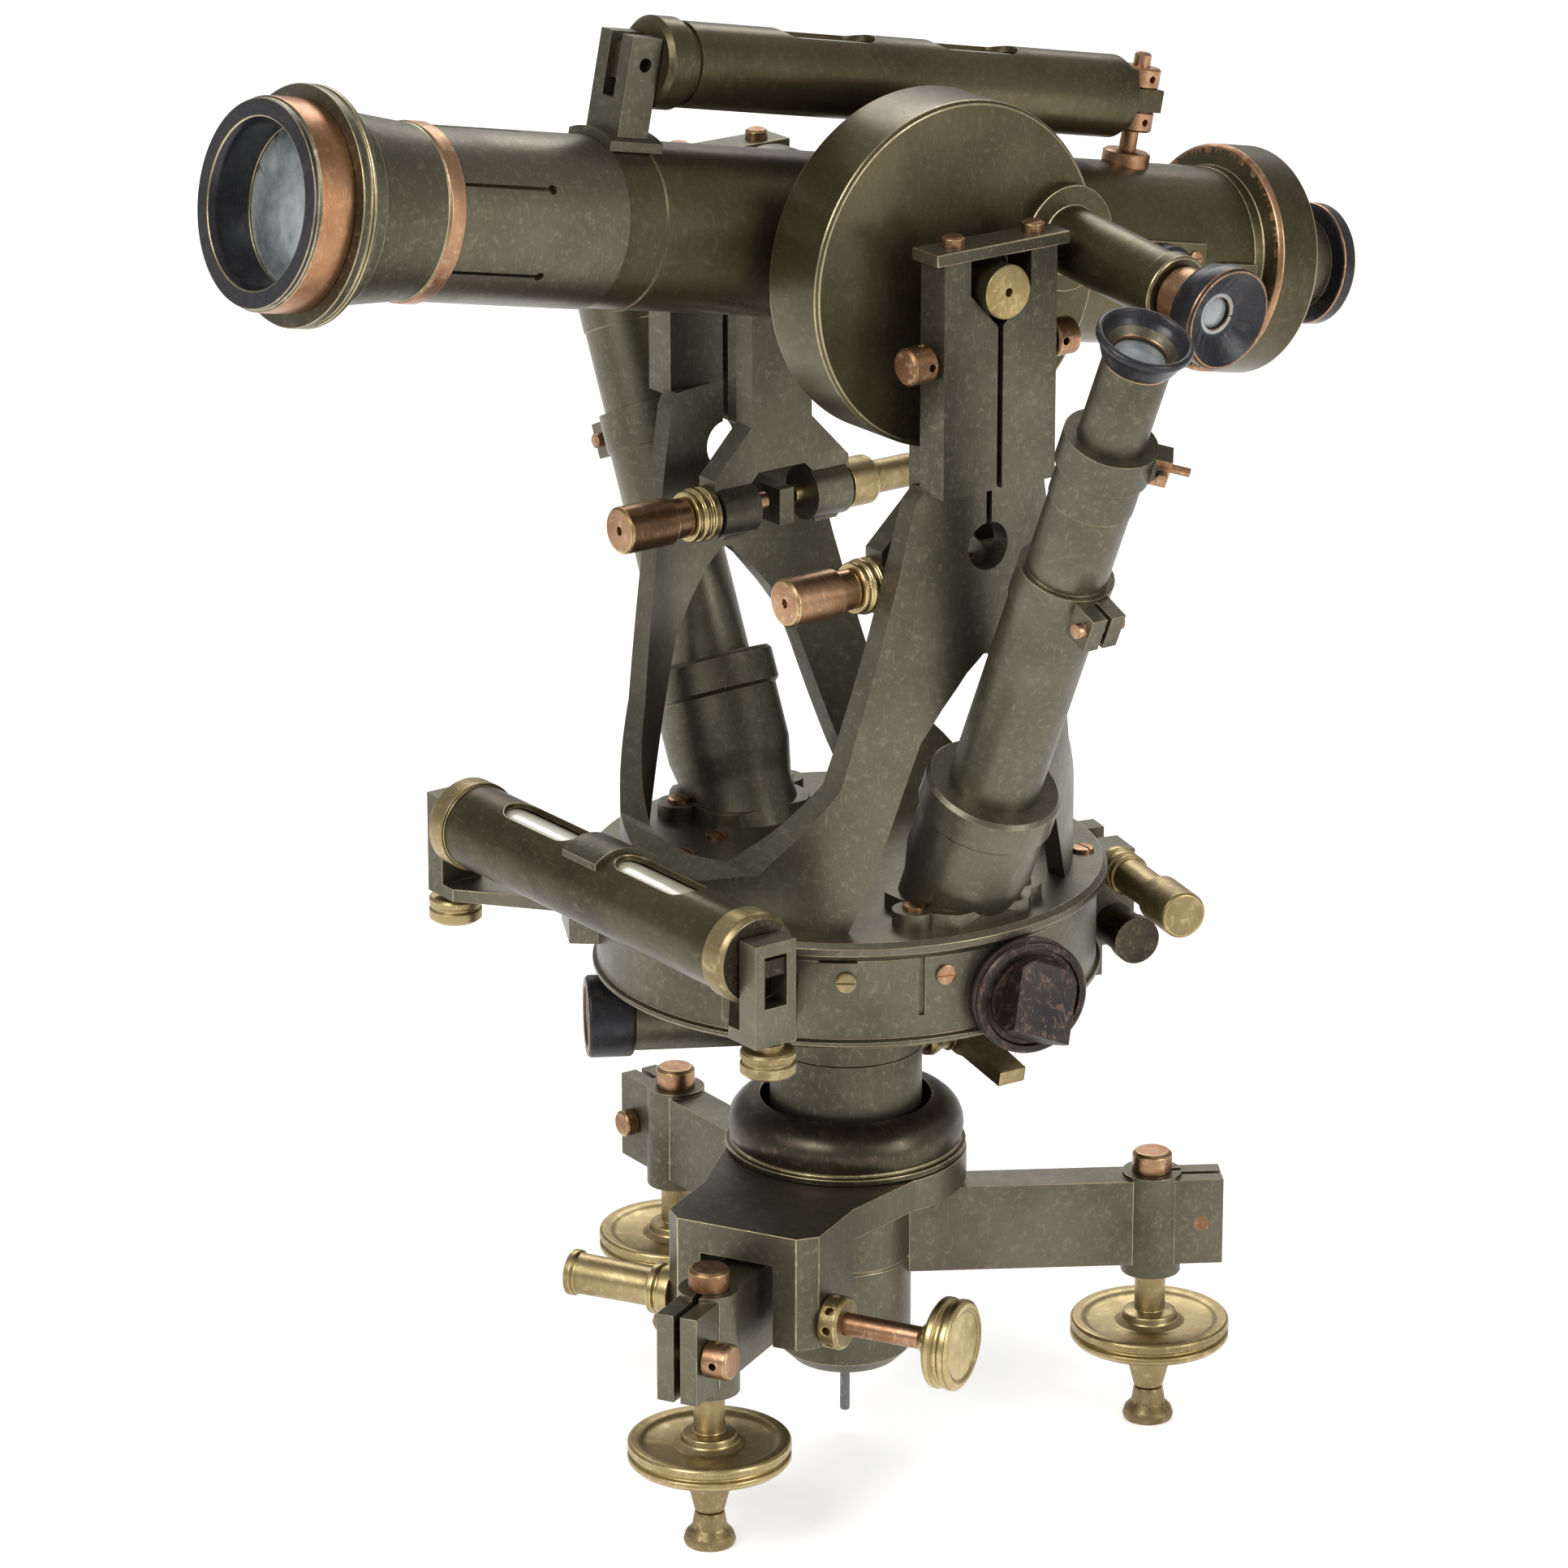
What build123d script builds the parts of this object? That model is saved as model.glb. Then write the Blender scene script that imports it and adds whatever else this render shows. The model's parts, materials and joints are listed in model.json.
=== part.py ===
from build123d import *
from math import cos, radians, sin, tan
import os

# Theodolite with micrometer microscopes, in millimetres.
# Z is the vertical axis, the origin is on it at the foot plane.
# The near standard and the circle drum are at +X, the objective points to -Y.

os.makedirs("parts", exist_ok=True)

# Clearances
running_gap = 0.05
side_gap = 0.3

# Levelling base
foot_circle = 72.0
foot_turn = -2.1
foot_angles = [60.0 + foot_turn, -60.0 + foot_turn, 180.0 + foot_turn]
hub_radius = 15.4
hub_low = 19.0
hub_top = 64.0
arm_thickness = 10.0
arm_low = 41.0
arm_top = 62.0
boss_radius = 7.0
boss_low = 38.0
boss_top = 63.0
ear_length = 16.3
ear_split = 1.6
ear_screw_height = 51.0
ear_screw_radius = 1.9
dust_cap_radius = 4.7
dust_cap_height = 5.0
plumb_pin_radius = 1.15
plumb_pin_low = 4.3
plumb_root_radius = 1.6

# Foot screws
foot_thread_radius = 3.6
foot_pivot_radius = 2.4
foot_tip_radius = 6.0
foot_tip_height = 8.2
foot_socket_floor = 3.5
wheel_radius = 18.7
wheel_low = 19.0
wheel_top = 26.15

# Circle axis and collar
spindle_radius = 8.0
neck_radius = 14.0
collar_low = 72.3
collar_flange_radius = 28.0
collar_bulge = 7.0
collar_bulge_radius = 27.5
column_radius = 17.7
inner_axis_radius = 6.0
circle_spigot_radius = 12.0
circle_radius = 52.0
circle_low = 124.0
circle_thickness = 2.5
key_height = 93.1
key_hub_radius = 4.1
key_angle = 87.0
key_length = 22.0

# Lower clamp
clamp_ring_radius = 28.2
fork_reach = 58.0
fork_depth = 22.0
fork_half_width = 19.0
fork_opening = 9.1
fork_leg_low = 44.5
lower_screw_reach = 50.0
lower_screw_height = 50.0
lower_screw_radius = 2.6
lower_knob_radius = 10.5
lower_knob_middle = 50.0
spring_barrel_radius = 4.5
spring_barrel_length = 27.0

# Plate housing
rim_radius = 60.0
wall_radius = 57.6
wall_thickness = 3.0
plate_top = 143.3
plate_thickness = 4.0
housing_low = 118.0
cover_thickness = 2.0
lip_radius = 58.6

# Upper clamp
upper_tube_height = 106.0
upper_tube_angle = 240.0
upper_tube_radius = 8.3
column_top = upper_tube_height - upper_tube_radius - side_gap
upper_tube_reach = 49.5
upper_head_radius = 9.6
upper_head_length = 11.0
upper_screw_offset = 64.0
upper_screw_height = 135.0
upper_screw_angle = -14.0
spring_drum_radius = 5.6
spring_drum_drop = 14.5

# Standards
shell_inner = 47.0
shell_outer = 52.0
band_top = plate_top + 6.7
axis_height = 289.7
block_face = 55.5
block_half_width = 15.5
block_low = axis_height - 45.2
block_top = axis_height + 7.8
cap_thickness = 2.8
pivot_radius = 6.1
pivot_end = 58.3
slit_width = 1.5
slit_hole_radius = 5.5
slit_hole_height = axis_height - 59.2
bearing_screw_height = axis_height - 14.7
bearing_screw_radius = 4.2

# Drum and trunnions
drum_radius = 38.9
drum_inner_face = 22.0
drum_outer_face = 40.4
drum_wall = 2.0
trunnion_radius = 9.0
vertical_circle_radius = 33.0

# Fine motion arms of the horizontal axis
index_arm_x = 35.0
clamp_arm_x = -28.0
arm_plate = 6.0
index_screw_height = axis_height - 68.7
clamp_screw_height = axis_height - 67.7
fine_barrel_radius = 6.5
fine_leg_outer = 19.0
fine_screw_radius = 2.2
fine_knob_radius = 5.5
fine_knob_end = 43.6
lug_thickness = 4.0
lug_middle = 1.0

# Horizontal circle microscopes
micro_foot_x = 40.3
micro_lean = 23.9
micro_cup_radius = 15.5
micro_cup_length = 36.0
micro_tube_radius = 10.4
micro_tube_end = 97.0
micro_sleeve_radius = 9.3
micro_ring_radius = 10.6
micro_ring_start = 125.5
micro_ring_end = 133.5
micro_upper_radius = 7.6
micro_eye_radius = 10.8
micro_eye_end = 161.0

# Vertical circle microscope
vertical_micro_y = 29.0
vertical_micro_z = axis_height + 4.3
vertical_micro_radius = 7.7
vertical_micro_length = 38.0
vertical_eye_radius = 11.7
vertical_eye_end = 55.0

# Telescope, measured along its axis from the horizontal axis
scope_tilt = 11.5
tube_radius = 18.6
tube_wall = 2.0
sleeve_start = 74.8
sleeve_end = 118.0
sleeve_radius = 19.0
slit_count = 6
rear_tube_radius = 21.0
rear_tube_start = -42.0
rear_tube_end = -102.4
rear_drum_radius = 26.5
rear_drum_start = -106.0
rear_drum_end = -117.5
bell_radius = 21.0
bell_end = 139.7
flange_radius = 25.9
flange_start = 145.0
flange_end = 149.0
bezel_radius = 22.9
bezel_end = 158.9
lens_radius = 17.2
eyepiece_radius = 10.5
eyepiece_ring_radius = 14.3
eyepiece_ring_start = -136.0
eyepiece_end = -141.2

# Telescope level
level_offset = 36.0
level_radius = 9.5
level_start = -68.5
level_end = 55.0
level_wall = 1.4
vial_radius = 6.5
level_windows = [(level_end - 93, level_end - 68), (level_end - 52, level_end - 25)]
level_window_half = 4.6

# Plate level
plate_level_y = -68.0
plate_level_z = 150.0
plate_level_radius = 9.8
plate_level_left = -55.0
plate_level_right = 57.0
plate_level_windows = [(plate_level_left + 19, -8), (8, plate_level_right - 21)]

# Illuminator
light_angle = -15.0
light_height = 127.0
light_radius = 13.3
light_reach = 66.0


def turned(points, at=(0, 0, 0), along=(0, 0, 1)):
    """Solid of revolution; each point is (distance along the axis, radius)."""
    outline = Polyline(*[(radius, distance) for distance, radius in points], close=True)
    body = revolve(Plane.XZ * make_face(outline), Axis.Z)
    return Plane(origin=at, z_dir=along).location * body


def rod(start, end, radius):
    """Plain cylinder between two points."""
    axis = Vector(*end) - Vector(*start)
    return turned([(0, 0), (0, radius), (axis.length, radius), (axis.length, 0)], start, axis)


def block(x0, x1, y0, y1, z0, z1):
    """Box between three pairs of limits."""
    size = Box(x1 - x0, y1 - y0, z1 - z0)
    return Pos((x0 + x1) / 2, (y0 + y1) / 2, (z0 + z1) / 2) * size


def slab_z(points, low, top):
    """Flat outline in X and Y, between two heights."""
    face = make_face(Polyline(*points, close=True))
    return Pos(0, 0, low) * extrude(face, top - low, dir=(0, 0, 1))


def slab_x(points, left, right):
    """Outline in Y and Z, between two X limits."""
    outline = Plane.YZ * make_face(Polyline(*points, close=True))
    return Pos(left, 0, 0) * extrude(outline, right - left, dir=(1, 0, 0))


def arc_points(middle, middle_radius, size, first, last, steps):
    """Points of an arc in a turned outline, angles in degrees from outward."""
    turn = [radians(first + (last - first) * i / steps) for i in range(steps + 1)]
    return [(middle + size * sin(a), middle_radius + size * cos(a)) for a in turn]


def polar(reach, angle, height):
    return (reach * cos(radians(angle)), reach * sin(radians(angle)), height)


def spin(shape, angle):
    """Turn a shape drawn along +X to its angle about the vertical axis."""
    return Rot(0, 0, angle) * shape


def save(name, *solids):
    shape = solids[0] if len(solids) == 1 else Compound(list(solids))
    export_step(shape, f"parts/{name}.step")


# Levelling base

def tribrach():
    shape = turned([(hub_low, 0), (hub_low, hub_radius - 3), (hub_low + 3, hub_radius),
                    (arm_low + 3.6, hub_radius), (arm_low + 4, hub_radius - 0.4),
                    (arm_low + 4.4, hub_radius), (hub_top, hub_radius), (hub_top, 0)])
    half = arm_thickness / 2
    reach = foot_circle + ear_length
    for angle in foot_angles:
        arm = block(2, reach, -half, half, arm_low, arm_top)
        boss = rod((foot_circle, 0, boss_low), (foot_circle, 0, boss_top), boss_radius)
        shape += spin(arm + boss, angle)
    for angle in foot_angles:
        bore = foot_thread_radius + running_gap
        hole = rod((foot_circle, 0, boss_low - 1), (foot_circle, 0, boss_top + 1), bore)
        gap = ear_split / 2
        split = block(foot_circle, reach + 1, -gap, gap, boss_low - 1, boss_top + 1)
        across = ear_screw_reach()
        screw = rod((across, -half - 3, ear_screw_height), (across, half + 3, ear_screw_height),
                    ear_screw_radius)
        shape -= spin(hole + split + screw, angle)
    shape -= rod((0, 0, hub_low + 8), (0, 0, hub_top + 1), spindle_radius + running_gap)
    shape -= rod((0, 0, hub_low), (0, 0, hub_low + 5), plumb_root_radius)
    return shape


def ear_screw_reach():
    return foot_circle + 0.69 * ear_length


def ear_screw(angle, capstan):
    half = arm_thickness / 2
    across = ear_screw_reach()
    head = 4.2 if capstan else 3.2
    length = 6.5 if capstan else 3.5
    points = [(-half, 0), (-half, ear_screw_radius), (half, ear_screw_radius), (half, head - 0.5),
              (half + 0.5, head), (half + length - 0.5, head), (half + length, head - 0.5),
              (half + length, 0)]
    screw = turned(points, (across, 0, ear_screw_height), (0, 1, 0))
    if capstan:
        middle = half + length / 2
        screw -= rod((across, middle, ear_screw_height - 6), (across, middle, ear_screw_height + 6), 0.9)
        screw -= rod((across - 6, middle, ear_screw_height), (across + 6, middle, ear_screw_height), 0.9)
    return spin(screw, angle)


def dust_cap(angle):
    top = boss_top + dust_cap_height
    points = [(boss_top, 0), (boss_top, dust_cap_radius), (top - 0.8, dust_cap_radius),
              (top, dust_cap_radius - 0.8), (top, 0)]
    return turned(points, polar(foot_circle, angle, 0))


def plumb_pin():
    low = plumb_pin_low
    size = plumb_pin_radius
    root = plumb_root_radius
    return turned([(low, 0), (low, size - 0.3), (low + 0.3, size), (hub_low, size), (hub_low, root),
                   (hub_low + 5, root), (hub_low + 5, 0)])


def foot_tip(angle):
    socket = foot_pivot_radius + running_gap
    neck = foot_pivot_radius + 0.9
    points = [(0, 0), (0, foot_tip_radius - 0.4), (1.2, foot_tip_radius),
              (2.8, foot_tip_radius - 0.5), (4.5, foot_tip_radius - 2),
              (foot_tip_height - 0.6, neck + 0.2), (foot_tip_height, neck), (foot_tip_height, socket),
              (foot_socket_floor, socket), (foot_socket_floor, 0)]
    return turned(points, polar(foot_circle, angle, 0))


def foot_screw(angle):
    rim = wheel_radius
    low = wheel_low
    top = wheel_top
    middle = (low + 1.5 + top) / 2
    shoulder = foot_tip_height + side_gap
    pin_end = foot_socket_floor + 0.2
    points = [(pin_end, 0), (pin_end, foot_pivot_radius), (shoulder, foot_pivot_radius), (shoulder, 3.4),
              (low - 3.5, 5.2), (low - 1, 7), (low + 0.6, rim - 4), (low + 1.8, rim - 0.7),
              (low + 2.6, rim), (middle - 0.7, rim), (middle - 0.3, rim - 1), (middle + 0.3, rim - 1),
              (middle + 0.7, rim), (top - 0.6, rim), (top, rim - 0.6), (top, rim - 2),
              (top - 1.3, rim - 4.5), (top - 1.5, rim - 10.2), (top - 0.3, rim - 12.1), (top + 1.4, rim - 12.5),
              (top + 1.9, foot_thread_radius), (boss_top - 4, foot_thread_radius), (boss_top - 4, 0)]
    return turned(points, polar(foot_circle, angle, 0))


# Lower clamp

def lower_clamp_ring():
    low = hub_top + side_gap
    top = collar_low - side_gap
    half = fork_half_width
    leg_back = fork_reach - fork_depth
    bore = neck_radius + running_gap
    ring = rod((0, 0, low), (0, 0, top), clamp_ring_radius)
    side = clamp_ring_radius - 2
    plate = slab_z([(6, -side), (leg_back, -half), (fork_reach - 4, -half), (fork_reach, -half + 4),
                    (fork_reach, half - 4), (fork_reach - 4, half), (leg_back, half), (6, side)],
                   low, top)
    legs = slab_z([(leg_back, -half), (fork_reach - 4, -half), (fork_reach, -half + 4),
                   (fork_reach, half - 4), (fork_reach - 4, half), (leg_back, half)],
                  fork_leg_low, low)
    legs -= block(0, fork_reach + 5, -fork_opening, fork_opening, fork_leg_low - 1, low + 0.5)
    shape = ring + plate + legs
    shape -= rod((0, 0, low - 1), (0, 0, top + 1), bore)
    shape -= rod((lower_screw_reach, 0, lower_screw_height),
                 (lower_screw_reach, half + 1, lower_screw_height), lower_screw_radius + running_gap)
    shape -= rod((lower_screw_reach, -half - 1, lower_screw_height),
                 (lower_screw_reach, 0, lower_screw_height), lower_screw_radius)
    return spin(shape, foot_angles[1])


def lower_nut():
    half = fork_half_width
    bore = lower_screw_radius + running_gap
    at = (lower_screw_reach, 0, lower_screw_height)
    nut = turned([(half, bore), (half, 5.6), (half + 0.6, 6.2), (half + 4.4, 6.2), (half + 5, 5.6),
                  (half + 5, bore)], at, (0, 1, 0))
    middle = half + 2.5
    for turn in (0, 45, 90, 135):
        hole = rod((0, middle, -9), (0, middle, 9), 0.9) - rod((0, middle, -3.5), (0, middle, 3.5), 2)
        nut -= Pos(*at) * (Rot(0, turn, 0) * hole)
    return spin(nut, foot_angles[1])


def lower_screw():
    knob = lower_knob_radius
    low = lower_knob_middle - 3.3
    top = lower_knob_middle + 3.3
    nose = arm_thickness / 2 + 1.5
    points = [(nose, 0), (nose, lower_screw_radius), (low - 4, lower_screw_radius), (low - 2.5, 4.2),
              (low, 4.6), (low, knob - 1.2), (low + 0.8, knob), (low + 2.3, knob), (low + 2.8, knob - 0.9),
              (top - 2.8, knob - 0.9), (top - 2.3, knob), (top - 0.8, knob), (top, knob - 1.2),
              (top, knob - 2), (top - 0.5, knob - 2.6), (top - 0.5, 0)]
    screw = turned(points, (lower_screw_reach, 0, lower_screw_height), (0, 1, 0))
    return spin(screw, foot_angles[1])


def spring_barrel():
    half = fork_half_width
    end = half + spring_barrel_length
    size = spring_barrel_radius
    nose = arm_thickness / 2 + 1.5
    points = [(nose, 0), (nose, lower_screw_radius), (half, lower_screw_radius), (half, 6.2),
              (half + 2.6, 6.2), (half + 3, 5.4), (half + 3.6, 5.4), (half + 4, 6), (half + 5.5, 6),
              (half + 6, size), (end - 2.2, size + 0.3), (end - 1.6, size + 0.9), (end, size + 0.9),
              (end, size - 0.6), (end - 1, size - 1.4), (end - 1, 0)]
    barrel = turned(points, (lower_screw_reach, 0, lower_screw_height), (0, -1, 0))
    return spin(barrel, foot_angles[1])


# Circle axis

def circle_axis():
    bore = inner_axis_radius + running_gap
    neck_low = hub_top + side_gap / 2
    outer = [(hub_low + 10, 0), (hub_low + 10, spindle_radius), (neck_low, spindle_radius),
             (neck_low, neck_radius), (collar_low, neck_radius), (collar_low, column_radius),
             (column_top, column_radius), (column_top, clamp_neck_radius()),
             (clamp_ring_top() + side_gap, clamp_neck_radius()),
             (clamp_ring_top() + side_gap, circle_spigot_radius), (circle_low, circle_spigot_radius),
             (circle_low, bore), (column_top - 10, bore), (column_top - 10, 0)]
    shape = turned(outer)
    reach = rod(polar(column_radius - 6, key_angle, key_height), polar(column_radius + 2, key_angle,
                key_height), key_stem_radius() + running_gap)
    return shape - reach


def clamp_neck_radius():
    return column_radius - 4.2


def clamp_ring_top():
    return upper_tube_height + upper_tube_radius


def key_stem_radius():
    return 2.5


def dust_collar():
    low = collar_low
    centre = low + 5.4
    inner = collar_bulge_radius - collar_bulge
    bulge = arc_points(centre, inner, collar_bulge, -28, 84, 8)
    points = [(low, column_radius), (low, collar_flange_radius), (low + 1.4, collar_flange_radius)]
    points += [(low + 1.6, collar_flange_radius - 1.1)]
    points += bulge
    points += [(centre + collar_bulge, inner - 0.5), (centre + 3, inner - 1.3),
               (low + 6.2, inner - 2), (low + 6.2, column_radius)]
    return turned(points)


def lever_key():
    reach = 32.0
    stem = key_stem_radius()
    hub = key_hub_radius
    shaft = turned([(column_radius - 6, 0), (column_radius - 6, stem), (column_radius + 4, stem),
                    (column_radius + 4, hub - 0.4), (column_radius + 5.6, hub), (column_radius + 7, hub - 0.4),
                    (column_radius + 7.4, hub - 0.9), (reach - 4, hub - 0.9), (reach - 4, hub - 0.2),
                    (reach + 3.5, hub - 0.2), (reach + 4.2, hub - 0.8), (reach + 4.2, 0)],
                   (0, 0, 0), (1, 0, 0))
    paddle = slab_x([(0, -3), (0, 3), (-4.4, 3), (-7, 2.2), (-key_length, 1.8), (-key_length, -1.8),
                     (-7, -2.2), (-4.4, -3)], reach - 3.5, reach + 3.7)
    key = shaft + Rot(12, 0, 0) * paddle
    return spin(Pos(0, 0, key_height) * key, key_angle)


def horizontal_circle():
    inner = inner_axis_radius + 0.6
    top = circle_low + circle_thickness
    return turned([(circle_low, inner), (circle_low, circle_radius), (top, circle_radius), (top, inner)])


# Plate housing

def plate_housing():
    inner = wall_radius - wall_thickness
    low = housing_low
    top = plate_top
    under = top - plate_thickness
    points = [(low, inner), (low, lip_radius - 0.5), (low + 0.5, lip_radius), (low + 1.4, lip_radius),
              (low + 1.9, wall_radius), (top - 4.8, wall_radius), (top - 3.8, rim_radius - 0.8),
              (top - 2.8, rim_radius), (top - 1.2, rim_radius), (top, rim_radius - 1.2), (top, 0),
              (under, 0), (under, inner)]
    slot = spin(block(wall_radius - 1.2, wall_radius + 2, -0.7, 0.7, low + 6.8, top - 4.4), -19.8)
    return turned(points) - slot


def bottom_cover():
    low = housing_low - cover_thickness
    hole = circle_spigot_radius + 1.5
    return turned([(low, hole), (low, wall_radius - 7), (low + 1.1, wall_radius - 1.4),
                   (housing_low, wall_radius - 1), (housing_low, hole)])


def wall_plate():
    ring = rod((0, 0, plate_top - 13.7), (0, 0, plate_top - 4.9), wall_radius + 1)
    ring -= rod((0, 0, 0), (0, 0, plate_top + 5), wall_radius)
    return ring & spin(block(wall_radius - 5, wall_radius + 5, -4.3, 4.3, 100, plate_top), -38.7)


def alidade_axis():
    return rod((0, 0, column_top - 8), (0, 0, plate_top - plate_thickness), inner_axis_radius)


# Upper clamp and tangent screw

def upper_line(along, out, height):
    """Point near the upper tangent screw: along it, away from the vertical axis, height."""
    a = radians(upper_screw_angle)
    return (along * cos(a) - out * sin(a), along * sin(a) + out * cos(a), height)


def upper_box(u0, u1, v0, v1, z0, z1):
    return Rot(0, 0, upper_screw_angle) * block(u0, u1, v0, v1, z0, z1)


def upper_clamp_ring():
    low = column_top + side_gap
    top = clamp_ring_top()
    z = upper_tube_height
    shape = rod((0, 0, low), (0, 0, top), column_radius)
    shape += spin(rod((5, 0, z), (upper_tube_reach, 0, z), upper_tube_radius), upper_tube_angle)
    out = upper_screw_offset
    shape += upper_box(-12, -6, 5, out + 4, z - 4, z + 4)
    shape += upper_box(-12, -6, rim_radius + 1, out + 4, z - 4, upper_screw_height + 4)
    shape -= rod((0, 0, low - 1), (0, 0, top + 1), clamp_neck_radius() + running_gap)
    bore = rod((upper_tube_reach - 6, 0, z), (upper_tube_reach + 1, 0, z), 4 + running_gap)
    shape -= spin(bore, upper_tube_angle)
    shape -= rod(upper_line(-20, out, upper_screw_height), upper_line(0, out, upper_screw_height),
                 fine_screw_radius + 0.6)
    return shape


def upper_clamp_head():
    start = upper_tube_reach + side_gap
    end = upper_tube_reach + upper_head_length
    size = upper_head_radius
    points = [(start - 6, 0), (start - 6, 4), (start, 4), (start, size - 0.6), (start + 0.8, size),
              (end - 0.8, size), (end, size - 0.6), (end, size - 2.2), (end - 0.8, size - 3),
              (end - 0.8, 0)]
    return spin(turned(points, (0, 0, upper_tube_height), (1, 0, 0)), upper_tube_angle)


def tangent_bracket():
    out = upper_screw_offset
    z = upper_screw_height
    shape = upper_box(-1, 9, 50, out + 5, z - 7, z + 3.4)
    drum = z - spring_drum_drop
    shape += upper_box(0, 9, 50, out + 5, drum - 5, z - 6)
    shape += rod(upper_line(8, out, drum), upper_line(18.5, out, drum), spring_drum_radius - 0.6)
    shape += rod(upper_line(18.5, out, drum), upper_line(21.5, out, drum), spring_drum_radius)
    shape -= rod((0, 0, 100), (0, 0, housing_low + 2), lip_radius)
    shape -= rod((0, 0, 100), (0, 0, plate_top), wall_radius)
    shape -= rod(upper_line(-5, out, z), upper_line(12, out, z), fine_screw_radius + running_gap)
    return shape


def upper_screw():
    size = fine_screw_radius
    knob = fine_knob_radius
    points = [(-15, 0), (-15, size), (9.3, size), (9.3, 4.9), (11, 4.9), (11.4, 4.2), (12.2, 4.2),
              (12.6, 4.9), (14.4, 4.9), (14.8, 4.2), (15.6, 4.2), (16, 4.9), (17, 4.9), (17.4, 4.2),
              (33, 4.2), (33.4, knob), (45.8, knob), (46.4, knob - 0.6), (46.4, 0)]
    a = radians(upper_screw_angle)
    return turned(points, upper_line(0, upper_screw_offset, upper_screw_height), (cos(a), sin(a), 0))


# Illuminator

def light_axis():
    return (cos(radians(light_angle)), sin(radians(light_angle)), 0)


def light_centre():
    return (light_reach - 2.5, 4, light_height)


def light_socket():
    size = light_radius
    points = [(-16, 0), (-16, size - 3), (-3.5, size - 3), (-3.2, size - 0.6), (-2.6, size),
              (-1.4, size), (-1, size - 0.8), (-0.4, size - 0.8), (0, size), (1, size), (1.5, size - 0.5),
              (1.5, size - 1.8), (0.6, size - 2.2), (0.6, 2 + running_gap), (-6, 2 + running_gap), (-6, 0)]
    shape = turned(points, light_centre(), light_axis())
    return shape - rod((0, 0, 90), (0, 0, plate_top), wall_radius) - plate_housing()


def light_hood():
    width = light_radius - 3.4
    stem = rod((0, 0, -5.5), (0, 0, 1.2), 2)
    disc = turned([(0.9, 0), (0.9, width), (2.1, width), (2.1, 0)])
    outline = Plane.XZ * make_face(Polyline((-width, 2), (width, 2), (width - 1, 4), (-width + 4, 12),
                                            close=True))
    wedge = extrude(outline, width * 0.72, both=True)
    wedge &= rod((0, 0, 1.5), (0, 0, 14), width)
    hood = stem + disc + wedge
    frame = Plane(origin=light_centre(), x_dir=(0.1, 0.4, 1), z_dir=light_axis())
    return frame.location * hood


# Standards

def standard_outline():
    """Right half of the A shape as (half width, height), from the foot upwards."""
    rise = axis_height - plate_top
    shape = [(52.5, 0.0), (50.9, 0.052), (48.5, 0.068), (46.5, 0.0775), (44.6, 0.082), (42.8, 0.108),
             (40.2, 0.137), (32.3, 0.2268), (25.5, 0.4296), (17.8, 0.6783), (15.5, 0.7)]
    return [(half, plate_top + part * rise) for half, part in shape]


def arch_outline():
    """Opening of the standard as (half width, height)."""
    rise = axis_height - plate_top
    shape = [(31.0, -0.02), (30.8, 0.0), (27.0, 0.0731), (23.5, 0.1482), (19.5, 0.237),
             (16.5, 0.2985), (11.5, 0.3497), (5.5, 0.401), (1.2, 0.4262)]
    return [(half, plate_top + part * rise) for half, part in shape]


def both_sides(half_outline):
    left = [(-half, height) for half, height in reversed(half_outline)]
    return half_outline + left


def bearing_notch():
    """V bearing, slit and clamp hole, cut along X."""
    lean = radians(43.3)
    rest = pivot_radius + running_gap
    apex = axis_height - rest / sin(lean)
    wide = pivot_radius + 2.2
    turn_height = apex + wide / tan(lean)
    gap = slit_width / 2
    points = [(gap, apex - 0.5), (wide, turn_height), (wide, block_top + 1)]
    far = block_face + 2
    notch = slab_x(both_sides([(gap, apex + gap / tan(lean))] + points[1:]), -far, far)
    slit = block(-far, far, -gap, gap, slit_hole_height, apex + 2)
    hole = rod((-far, 0, slit_hole_height), (far, 0, slit_hole_height), slit_hole_radius)
    return notch + slit + hole


def standards():
    far = block_face + 2
    ring = rod((0, 0, plate_top), (0, 0, block_top), shell_outer)
    ring -= rod((0, 0, plate_top - 1), (0, 0, block_top + 1), shell_inner)
    walls = ring & slab_x(both_sides(standard_outline()), -far, far)
    walls -= slab_x(both_sides(arch_outline()), -far, far)
    band = ring & block(-far, far, -far, far, plate_top, band_top)
    band -= slab_x(both_sides(arch_outline()), -far, far)
    shape = walls + band
    half = block_half_width
    for side in (1, -1):
        x0, x1 = sorted((side * shell_inner, side * block_face))
        shape += block(x0, x1, -half, half, block_low, block_top)
    shape += fixed_lug(1, index_screw_height) + fixed_lug(-1, clamp_screw_height)
    return shape - bearing_notch()


def bearing_cap(side):
    x0, x1 = sorted((side * shell_inner, side * (block_face + 0.7)))
    return block(x0, x1, -block_half_width - 2.5, block_half_width + 3, block_top,
                 block_top + cap_thickness)


def cap_screw(side, y):
    x = side * (shell_inner + block_face) / 2
    top = block_top + cap_thickness
    return turned([(top, 0), (top, 2.6), (top + 1.8, 2.6), (top + 2.4, 1.8), (top + 2.4, 0)], (x, y, 0))


def bearing_screw(side):
    """Capstan screw on one flank of the near bearing block."""
    size = bearing_screw_radius
    start = block_half_width
    x = (shell_inner + block_face) / 2
    points = [(start, 0), (start, size - 1.4), (start + 1.2, size - 1.4), (start + 1.2, size - 0.4),
              (start + 1.7, size), (start + 7, size), (start + 7.6, size - 0.6), (start + 7.6, 0)]
    screw = turned(points, (x, 0, bearing_screw_height), (0, side, 0))
    y = side * (start + 3)
    z = bearing_screw_height
    screw -= rod((x, y, z - 7), (x, y, z + 7), 0.9) + rod((x - 7, y, z), (x + 7, y, z), 0.9)
    return screw


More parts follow.
